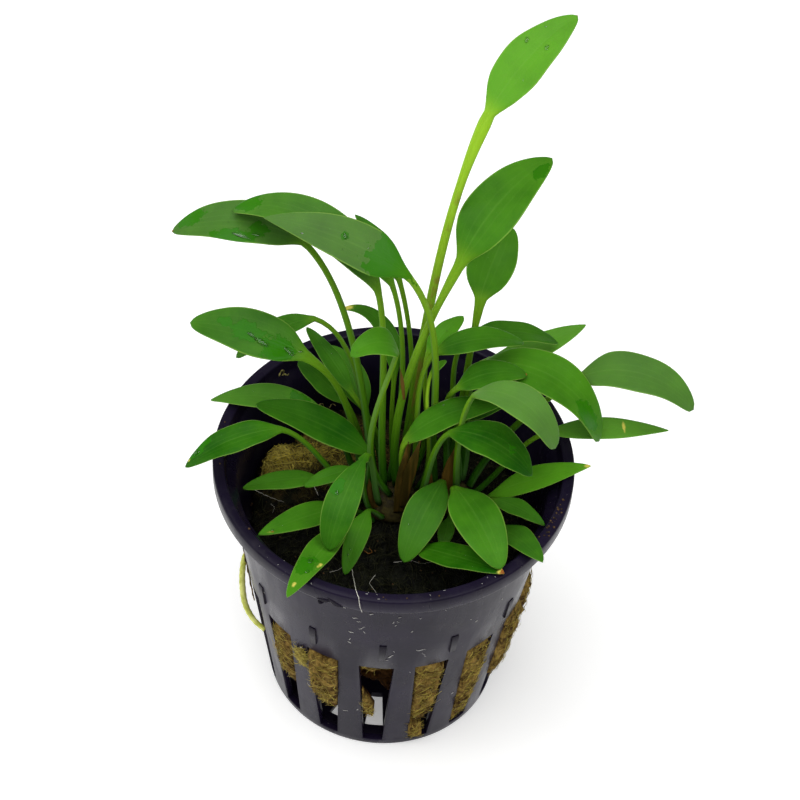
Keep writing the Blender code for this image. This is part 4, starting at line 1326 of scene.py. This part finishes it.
def make_leaf(leaf, foot, outward, material):
    draw = random.Random(leaf.name)
    wave = (draw.random(), draw.random(), draw.uniform(0.03, 0.075), draw.uniform(1.2, 2.6))
    rings = []
    values = {"leaf_" + kind: [] for kind in ("along", "across", "under", "streak", *PATCHES)}
    for row in leaf_frames(leaf, foot, outward):
        ring, across, under = leaf_section(leaf, row, wave)
        rings.append(ring)
        along = row[-1]
        streaked = leaf.name == STREAKED and along < -0.25
        for share, below in zip(across, under):
            values["leaf_along"].append(along)
            values["leaf_across"].append(share)
            values["leaf_under"].append(below)
            values["leaf_streak"].append(0.55 if streaked and share < -0.2 else 0.0)
            for kind in PATCHES:
                dry = kind == "wet" and below
                values["leaf_" + kind].append(0.0 if dry else patch_value(kind, leaf.name, along, share))
    tone, stalk, painted_sheen = TONES.get(leaf.name, USUAL_TONE)
    shape = Shape()
    shape.loft(rings, leaf_tone=tone, leaf_stalk=stalk, leaf_pale=painted_sheen, **values)
    shape.piece("leaf_" + leaf.name, material, leaf.name)


def on_blade(leaf, along, across):
    """A place on a blade's upper side, with the way out of it and the way along it."""
    point = Vector(leaf.base)
    steps = 60
    for k in range(int(steps * along)):
        point += blade_direction(leaf, (k + 0.5) / steps) * (leaf.length / steps)
    side = level_side(leaf.heading + leaf.turn * along)
    way = blade_direction(leaf, along)
    side, up = rolled(side, way.cross(side), leaf.roll)
    wide = half_width(leaf, along)
    lift = math.tan(FOLD) * wide * abs(across) ** 1.5
    return point + side * (wide * across) + up * (lift + BLADE_THICK), up, way


# Drops of water: leaf, how far along and across it, half length and half width in metres
DROPS = [
    ("tall_1", 0.60, 0.62, 0.00055, 0.00030),
    ("tall_1", 0.66, -0.30, 0.00045, 0.00034),
    ("mid_left_1", 0.38, 0.28, 0.00120, 0.00050),
    ("mid_left_1", 0.47, 0.10, 0.00070, 0.00035),
    ("mid_left_1", 0.14, 0.30, 0.00100, 0.00050),
    ("mid_left_1", 0.06, -0.10, 0.00060, 0.00040),
    ("high_left_1", 0.44, 0.72, 0.00150, 0.00035),
    ("high_left_1", 0.34, 0.55, 0.00070, 0.00040),
    ("high_left_3", 0.47, -0.15, 0.00030, 0.00050),
    ("front_3", 0.50, -0.50, 0.00040, 0.00030),
    ("front_4", 0.60, -0.10, 0.00060, 0.00040),
    ("front_4", 0.72, 0.25, 0.00045, 0.00030),
    ("left_3", 0.84, -0.55, 0.00060, 0.00030),
    ("left_6", 0.85, 0.30, 0.00035, 0.00025),
]
SMALL_DROPS = 46
DROP_SIDES = 14
DROP_HEIGHT = 0.55
DROP_LEVELS = (-0.35, -0.05, 0.3, 0.62, 0.86, 0.98)


def make_drops(material):
    draw = random.Random(31)
    shape = Shape()
    by_name = {leaf.name: leaf for leaf in LEAVES}
    drops = list(DROPS)
    names = sorted(by_name)
    for _ in range(SMALL_DROPS):
        size = draw.uniform(0.00010, 0.00019)
        drops.append((draw.choice(names), draw.uniform(0.15, 0.9), draw.uniform(-0.7, 0.7), size, size * 0.9))
    for name, along, across, long, wide in drops:
        place, up, way = on_blade(by_name[name], along, across)
        side = up.cross(way).normalized()
        spin = draw.uniform(-0.5, 0.5)
        first = way * math.cos(spin) + side * math.sin(spin)
        second = up.cross(first).normalized()
        tall = min(long, wide) * DROP_HEIGHT
        rings = []
        for lift in DROP_LEVELS:
            reach = math.sqrt(max(0.0, 1 - max(lift, 0.0) ** 2)) * (1.0 if lift > -0.2 else 0.96)
            ring = []
            for k in range(DROP_SIDES):
                a = math.tau * k / DROP_SIDES
                wobble = 1 + 0.10 * math.sin(2 * a + along * 20) + 0.06 * math.sin(3 * a + across * 9)
                flat = first * (long * math.cos(a)) + second * (wide * math.sin(a))
                ring.append(place + flat * (reach * wobble) + up * (tall * lift))
            rings.append(ring)
        shape.loft(rings)
    shape.piece("water_drops", material)


CROWN_COLUMNS = 40
CROWN_LEVELS = 12


def make_crown(name, material):
    """The short stem: a ribbed dome on the solid's own half-axes."""
    centre, radii = crown_frame(name)
    shape = Shape()
    rings = []
    for level in range(CROWN_LEVELS + 1):
        lift = math.radians(88 * level / CROWN_LEVELS)
        ring = []
        for k in range(CROWN_COLUMNS):
            a = math.tau * k / CROWN_COLUMNS
            unit = Vector((math.cos(lift) * math.cos(a), math.cos(lift) * math.sin(a), math.sin(lift)))
            ribs = 1 + 0.035 * math.sin(a * 9 + 2 * math.sin(lift * 5)) + 0.05 * soft_noise(unit, 3.0)
            ring.append(centre + scaled(unit, radii) * min(ribs, 1.04))
        rings.append(ring)
    shape.loft(rings)
    shape.piece("stem_" + name, material, name)


# Old brown leaf sheaths between the stalks: foot, middle, top and the half widths there
SHEATHS = [
    ((0.0012, -0.0030, 0.0408), (0.0012, -0.0026, 0.0475), (0.0020, -0.0018, 0.0560), 0.0008, 0.0008, 0.0005),
    ((0.0018, -0.0030, 0.0420), (0.0025, -0.0026, 0.0500), (0.0038, -0.0024, 0.0575), 0.0005, 0.0009, 0.0004),
    ((0.0082, -0.0012, 0.0420), (0.0086, -0.0008, 0.0482), (0.0094, -0.0006, 0.0555), 0.0010, 0.0012, 0.0006),
    ((0.0009, 0.0019, 0.0612), (0.0005, 0.0020, 0.0645), (0.0000, 0.0020, 0.0680), 0.0002, 0.0003, 0.00015),
    ((-0.0024, -0.0022, 0.0405), (-0.0032, -0.0022, 0.044), (-0.0036, -0.002, 0.047), 0.0006, 0.0006, 0.0003),
    ((0.0060, -0.0006, 0.0405), (0.0056, -0.0004, 0.0450), (0.0054, -0.0002, 0.0490), 0.0006, 0.0006, 0.0003),
]
SHEATH_SIDES = 20


def make_sheaths(material):
    shape = Shape()
    for row, (foot, middle, top, low, mid, high) in enumerate(SHEATHS):
        route = smooth_route([Vector(foot), Vector(middle), Vector(top)], 12)
        rings = []
        for k, place in enumerate(route):
            t = k / (len(route) - 1)
            way = way_at(route, k)
            side = Vector((1.0, 0.15, 0.0))
            side = (side - way * way.dot(side)).normalized()
            front = side.cross(way).normalized()
            half = low + (mid - low) * min(1.0, 2 * t) + (high - mid) * max(0.0, 2 * t - 1)
            if t > 0.7:
                half *= 1 - 3.0 * (t - 0.7)
            ring = []
            for j in range(SHEATH_SIDES):
                a = math.tau * j / SHEATH_SIDES
                depth = 0.42 * math.sin(a) + 0.25 * math.cos(a) ** 2
                ridge = 1 + 0.05 * math.sin(7 * a + row)
                ring.append(place + (side * (half * math.cos(a)) + front * (half * depth)) * ridge)
            rings.append(ring[::-1])
        shape.loft(rings)
    shape.piece("old_sheaths", material)


# Roots and loose bits


def make_outside_root(material):
    route = smooth_route([turned(*place) for place in ROOT], 10)
    radii = []
    for k in range(len(route)):
        t = k / (len(route) - 1)
        radii.append(ROOT_RADIUS * (0.78 + 0.22 * math.sin(math.pi * t)) * (1 + 0.06 * math.sin(k * 1.7)))
    shape = Shape()
    shape.tube(route, radii, 12)
    shape.piece("side_root", material, "outside_root")


# The dead strip's middle line on the wall: angle and height
STRIP = [(-172.0, 0.0292), (-171.5, 0.0262), (-170.5, 0.0232), (-168.0, 0.0205), (-166.5, 0.0185)]


def make_root_strip(material):
    """The brown dead strip that lies on the wall beside the outside root."""
    rings = []
    route = smooth_route([turned(angle, wall_radius(z) + 0.00022, z) for angle, z in STRIP], 8)
    for k, place in enumerate(route):
        t = k / (len(route) - 1)
        out, side = level_ways(place)
        half = 0.00075 * math.sin(math.pi * (0.08 + 0.84 * t)) ** 0.6 * (1 + 0.15 * math.sin(k * 1.3))
        curl = 0.00016 * math.sin(k * 0.9)
        section = (
            (-0.9, -0.00004),
            (0.0, -0.00002),
            (0.9, -0.00004),
            (1.0, 0.00006 - curl),
            (0.0, 0.00016),
            (-1.0, 0.00006 + curl),
        )
        rings.append([place + side * half * across + out * lift for across, lift in section])
    shape = Shape()
    shape.loft(rings)
    shape.piece("dead_strip", material)


# Fine white roots, in millimetres: thickness, then the places that each one passes
WHITE_ROOTS = [
    (0.13, [(-5.6, -9.6, 38.2), (-5.4, -12.0, 38.2), (-5.0, -15.0, 39.6), (-4.6, -20.0, 44.5),
            (-4.3, -24.6, 49.2),
            (-4.0, -26.2, 50.2), (-3.7, -27.2, 50.15), (-3.5, -27.68, 49.2), (-3.1, -27.7, 47.7)]),
    (0.07, [(-1.6, -13.4, 38.0), (-2.4, -15.5, 38.9), (-2.2, -19.5, 43.4), (-1.5, -24.5, 48.8),
            (-1.1, -26.3, 50.12)]),
    (0.06, [(-8.6, -13.6, 38.1), (-7.2, -13.2, 38.5), (-6.2, -12.2, 38.4), (-5.5, -12.3, 38.4)]),
    (0.08, [(-23.4, 1.6, 39.0), (-21.2, 1.5, 38.0), (-19.4, 0.6, 38.0), (-17.9, 0.0, 38.0),
            (-16.6, -0.5, 38.2)]),
    (0.05, [(1.0, -11.0, 38.3), (3.4, -10.6, 38.5), (5.2, -10.9, 38.4), (7.4, -10.4, 38.5)]),
    (0.16, [(-13.4, 3.8, 38.2), (-12.6, 3.0, 38.7), (-11.9, 2.0, 38.7), (-11.4, 1.0, 38.4)]),
    (0.04, [(-18.6, -0.9, 38.0), (-18.0, -1.8, 38.2), (-18.2, -2.8, 38.0)]),
]

# Loose dried bits on the wool, tan and rust-coloured, in the same way
TAN_BITS = [
    (0.30, [(-18.9, 16.6, 48.3), (-18.6, 17.0, 48.9), (-18.2, 17.4, 48.7), (-18.3, 17.3, 48.0),
            (-17.9, 17.2, 47.9)]),
    (0.22, [(-18.5, 16.9, 48.1), (-18.0, 16.9, 48.4), (-17.6, 17.1, 48.0), (-17.4, 17.3, 48.2)]),
    (0.20, [(-12.9, 18.2, 39.6), (-12.4, 18.4, 40.2), (-11.9, 18.6, 40.0), (-11.8, 18.5, 39.5)]),
    (0.18, [(-10.9, 18.6, 39.2), (-10.5, 18.9, 39.9), (-9.9, 18.8, 39.6)]),
    (0.16, [(-12.2, 17.2, 39.0), (-11.5, 17.3, 39.5), (-10.9, 17.1, 39.2), (-10.6, 16.7, 39.0)]),
]
BROWN_BITS = [
    (0.14, [(-15.8, 5.2, 38.9), (-15.4, 4.4, 39.4), (-14.2, 4.0, 39.3), (-13.0, 4.0, 39.1),
            (-11.8, 3.7, 39.0)]),
    (0.12, [(-15.6, 5.0, 39.0), (-15.9, 4.0, 39.0), (-15.4, 3.2, 38.8)]),
    (0.10, [(-18.8, 2.3, 38.8), (-18.2, 1.6, 38.9), (-17.5, 1.5, 38.7)]),
    (0.11, [(-3.6, -9.2, 38.4), (-3.0, -9.9, 38.7), (-2.4, -9.4, 38.4), (-2.9, -8.6, 38.5)]),
]
THREAD_JITTER = 0.00005


def make_threads(name, threads, material, seed):
    draw = random.Random(seed)
    shape = Shape()
    for thick, places in threads:
        route = smooth_route([Vector(place) / 1000 for place in places], 8)
        radii = []
        for k, place in enumerate(route):
            t = k / (len(route) - 1)
            radii.append(thick / 2000 * (1.0 - 0.45 * t) * draw.uniform(0.85, 1.15))
            route[k] = place + Vector([draw.uniform(-1, 1) * THREAD_JITTER for _ in range(3)])
        shape.tube(route, radii, 6)
    shape.piece(name, material)


# White specks and short hairs on the wall: angle, height in millimetres, length in millimetres
WALL_SPECKS = [
    (-99.8, 41.1, 0.9), (-98.4, 40.2, 0.7), (-97.3, 38.4, 1.3), (-96.4, 37.2, 0.6), (-101.3, 36.5, 0.8),
    (-101.8, 34.2, 0.5), (-102.0, 33.2, 0.7), (-84.8, 41.2, 0.5), (-85.4, 40.1, 0.4), (-74.8, 31.7, 1.6),
    (-72.8, 29.5, 0.5), (-73.6, 30.3, 1.2), (-77.8, 24.8, 0.4), (-55.1, 13.0, 0.5), (-86.2, 30.3, 1.0),
    (-87.8, 29.0, 0.7), (-85.1, 31.8, 0.5), (-79.3, 38.0, 0.4), (-103.5, 43.5, 0.4), (-91.2, 44.6, 0.5),
    (-68.2, 43.0, 0.4), (-122.8, 13.4, 0.9), (-104.5, 10.0, 0.9), (-98.8, 11.4, 0.6), (-124.0, 24.8, 0.6),
]
LOOSE_SPECKS = 26
RIM_SPECKS = 14
SPECK_TAPER = (0.5, 1.0, 1.3, 1.0, 0.9, 0.4)


def make_specks(material):
    draw = random.Random(47)
    shape = Shape()
    marks = list(WALL_SPECKS)
    for _ in range(LOOSE_SPECKS):
        marks.append((draw.uniform(-180, 180), draw.uniform(27.5, 46.0), draw.uniform(0.2, 0.7)))
    for angle, z, length in marks:
        route = []
        lean = draw.uniform(-1.2, 1.2)
        for k in range(len(SPECK_TAPER)):
            t = k / (len(SPECK_TAPER) - 1) - 0.5
            level = t * length * math.cos(lean)
            high = (z + t * length * math.sin(lean) + 0.12 * length * math.sin(6 * t)) / 1000
            radius = wall_radius(high) + 0.00003
            route.append(turned(angle + math.degrees(level / 1000 / radius), radius, high))
        thick = draw.uniform(0.000025, 0.00006)
        shape.tube(route, [thick * share for share in SPECK_TAPER], 4)
    for _ in range(RIM_SPECKS):
        angle = draw.gauss(-105, 26)
        radius = draw.uniform(0.0259, 0.0272)
        start = turned(angle, radius, POT_HEIGHT + 0.00002)
        end = turned(angle + draw.uniform(-0.9, 0.9), radius + draw.uniform(-0.0003, 0.0003), start.z)
        thick = draw.uniform(0.000015, 0.000035)
        shape.tube([start, (start + end) / 2, end], [thick, thick * 1.2, thick], 4)
    shape.piece("dust_specks", material)


RIM_CRUMBS = 26
LOOSE_CRUMBS = 10
CRUMB_SIDES = 6
CRUMB_LEVELS = ((-0.8, 0.5), (-0.2, 1.0), (0.4, 0.8), (0.9, 0.25))


def make_crumbs(material):
    """Brown crumbs of dirt on the rim and dark ones on the wool."""
    draw = random.Random(83)
    shape = Shape()
    spots = []
    for _ in range(RIM_CRUMBS):
        spots.append(turned(draw.gauss(-24, 5), draw.uniform(0.0258, 0.0272), POT_HEIGHT + 0.00004))
    for _ in range(LOOSE_CRUMBS):
        spots.append(turned(draw.uniform(-180, 180), draw.uniform(0.0258, 0.0271), POT_HEIGHT + 0.00004))
    for _ in range(WOOL_CRUMBS):
        x, y, _ = turned(draw.uniform(-180, 180), 0.0225 * math.sqrt(draw.random()), 0.0)
        spots.append(Vector((x, y, wool_top(x, y) + 0.0001)))
    for spot in spots:
        size = draw.uniform(0.00006, 0.00022)
        rings = []
        for lift, reach in CRUMB_LEVELS:
            ring = []
            for k in range(CRUMB_SIDES):
                a = math.tau * k / CRUMB_SIDES + lift
                far = size * reach * draw.uniform(0.7, 1.3)
                ring.append(spot + Vector((far * math.cos(a), far * math.sin(a), size * lift * 0.7)))
            rings.append(ring)
        shape.loft(rings)
    shape.piece("dirt_crumbs", material)


# The stage

LIT_PLACE = (0.0, 0.0, 0.05)


def make_floor():
    paint = Paint("floor_white", (0.93, 0.93, 0.925), 0.55)
    paint.wear("Emission Color", PLAIN)
    paint.wear("Emission Strength", 0.28)
    paint.wear("Base Color", paint.mix(paint.cloud(30, 2.0), (0.925, 0.925, 0.92), (0.94, 0.94, 0.935)))
    half = 1.5
    mesh = bpy.data.meshes.new("studio_floor")
    corners = [(-half, -half, 0), (half, -half, 0), (half, half, 0), (-half, half, 0)]
    mesh.from_pydata(corners, [], [(0, 1, 2, 3)])
    mesh.materials.append(paint.material)
    floor = add_object("studio_floor", mesh)


def add_light(name, place, size, power):
    light = bpy.data.lights.new(name, "AREA")
    light.shape = "RECTANGLE"
    light.size, light.size_y = size
    light.energy = power
    obj = add_object(name, light)
    obj.location = place
    obj.rotation_euler = (Vector(LIT_PLACE) - Vector(place)).to_track_quat("-Z", "Y").to_euler()


def light_scene():
    world = bpy.data.worlds.new("studio_world")
    bpy.context.scene.world = world
    world.use_nodes = True
    background = world.node_tree.nodes["Background"]
    background.inputs["Color"].default_value = (1.0, 1.0, 1.0, 1.0)
    background.inputs["Strength"].default_value = 0.26
    add_light("soft_top", (-0.05, -0.08, 0.62), (0.80, 0.70), 4.6)
    add_light("soft_left", (-0.55, 0.02, 0.20), (0.35, 0.45), 0.9)
    add_light("soft_front", (0.25, -0.45, 0.50), (0.35, 0.35), 0.5)
    bpy.context.scene.view_settings.view_transform = "Standard"
    bpy.context.scene.view_settings.look = "None"


CAMERA_PLACE = (0.0003, -0.2317, 0.3232)
CAMERA_DOWN = math.radians(48.3)
CAMERA_ROLL = math.radians(3.88)
CAMERA_FOCAL_PIXELS = 2360
FRAME_PIXELS = 800
SENSOR = 36.0


def make_camera():
    camera = bpy.data.cameras.new("photo_view")
    camera.sensor_width = SENSOR
    camera.lens = CAMERA_FOCAL_PIXELS / FRAME_PIXELS * SENSOR
    camera.clip_start = 0.01
    camera.clip_end = 10.0
    ahead = Vector((0.0, math.cos(CAMERA_DOWN), -math.sin(CAMERA_DOWN)))
    level = Vector((1.0, 0.0, 0.0))
    upward = level.cross(ahead)
    right = level * math.cos(CAMERA_ROLL) + upward * math.sin(CAMERA_ROLL)
    top = upward * math.cos(CAMERA_ROLL) - level * math.sin(CAMERA_ROLL)
    pose = Matrix((right, top, -ahead)).transposed().to_4x4()
    pose.translation = Vector(CAMERA_PLACE)
    obj = add_object("photo_view", camera)
    obj.matrix_world = pose
    bpy.context.scene.camera = obj


def build():
    make_camera()
    light_scene()
    make_floor()

    plastic = pot_material("pot_plastic", (0.0064, 0.0042, 0.0130), 1.0)
    # a darker copy of the pot's plastic, painted shade for the nubs and the lip burrs
    shaded_plastic = pot_material("pot_plastic_dark", (0.0040, 0.0024, 0.0075), 0.4)
    make_pot(plastic)
    make_nubs(shaded_plastic)
    make_lip_burrs(shaded_plastic)

    wool = wool_material()
    fibres = fibre_material()
    make_wool(wool)
    make_bulges(wool)
    make_top_fibres(fibres)
    make_slot_fibres(fibres)
    make_bar_tuft(fibres)

    stem = plant_matter("stem_tissue", (0.012, 0.007, 0.002), (0.055, 0.046, 0.010), 900, 0.7)
    for name in CROWNS:
        make_crown(name, stem)
    tissue = leaf_material()
    feet = leaf_feet()
    for leaf in LEAVES:
        make_leaf(leaf, *feet[leaf.name], tissue)
    long_streaks = (1.0, 1.0, 0.12)
    sheath = plant_matter("old_sheath", (0.035, 0.026, 0.004), (0.155, 0.085, 0.012), 600, 0.5, long_streaks)
    make_sheaths(sheath)
    make_drops(water_material())

    green_root = plant_matter("green_root", (0.42, 0.46, 0.05), (0.74, 0.76, 0.24), 500, 0.4)
    make_outside_root(green_root)
    dead = plant_matter("dead_tissue", (0.030, 0.016, 0.006), (0.20, 0.12, 0.035), 900, 0.7, (1.0, 1.0, 0.3))
    make_root_strip(dead)
    white_root = plant_matter("white_root", (0.42, 0.40, 0.34), (0.80, 0.78, 0.70), 1500, 0.5, bump=0.00003)
    make_threads("white_roots", WHITE_ROOTS, white_root, 3)
    rust = plant_matter("rust_bits", (0.16, 0.06, 0.012), (0.42, 0.20, 0.045), 1500, 0.6, bump=0.00003)
    make_threads("dead_bits", BROWN_BITS, rust, 4)
    tan = plant_matter("tan_bits", (0.06, 0.055, 0.012), (0.42, 0.37, 0.13), 1500, 0.7, bump=0.00003)
    make_threads("dried_curls", TAN_BITS, tan, 6)
    dust = plant_matter("dust", (0.35, 0.34, 0.31), (0.72, 0.71, 0.68), 2500, 0.7, bump=0.00002)
    make_specks(dust)
    dirt = plant_matter("dirt", (0.012, 0.007, 0.004), (0.13, 0.075, 0.03), 2500, 0.8, bump=0.00005)
    make_crumbs(dirt)


build()
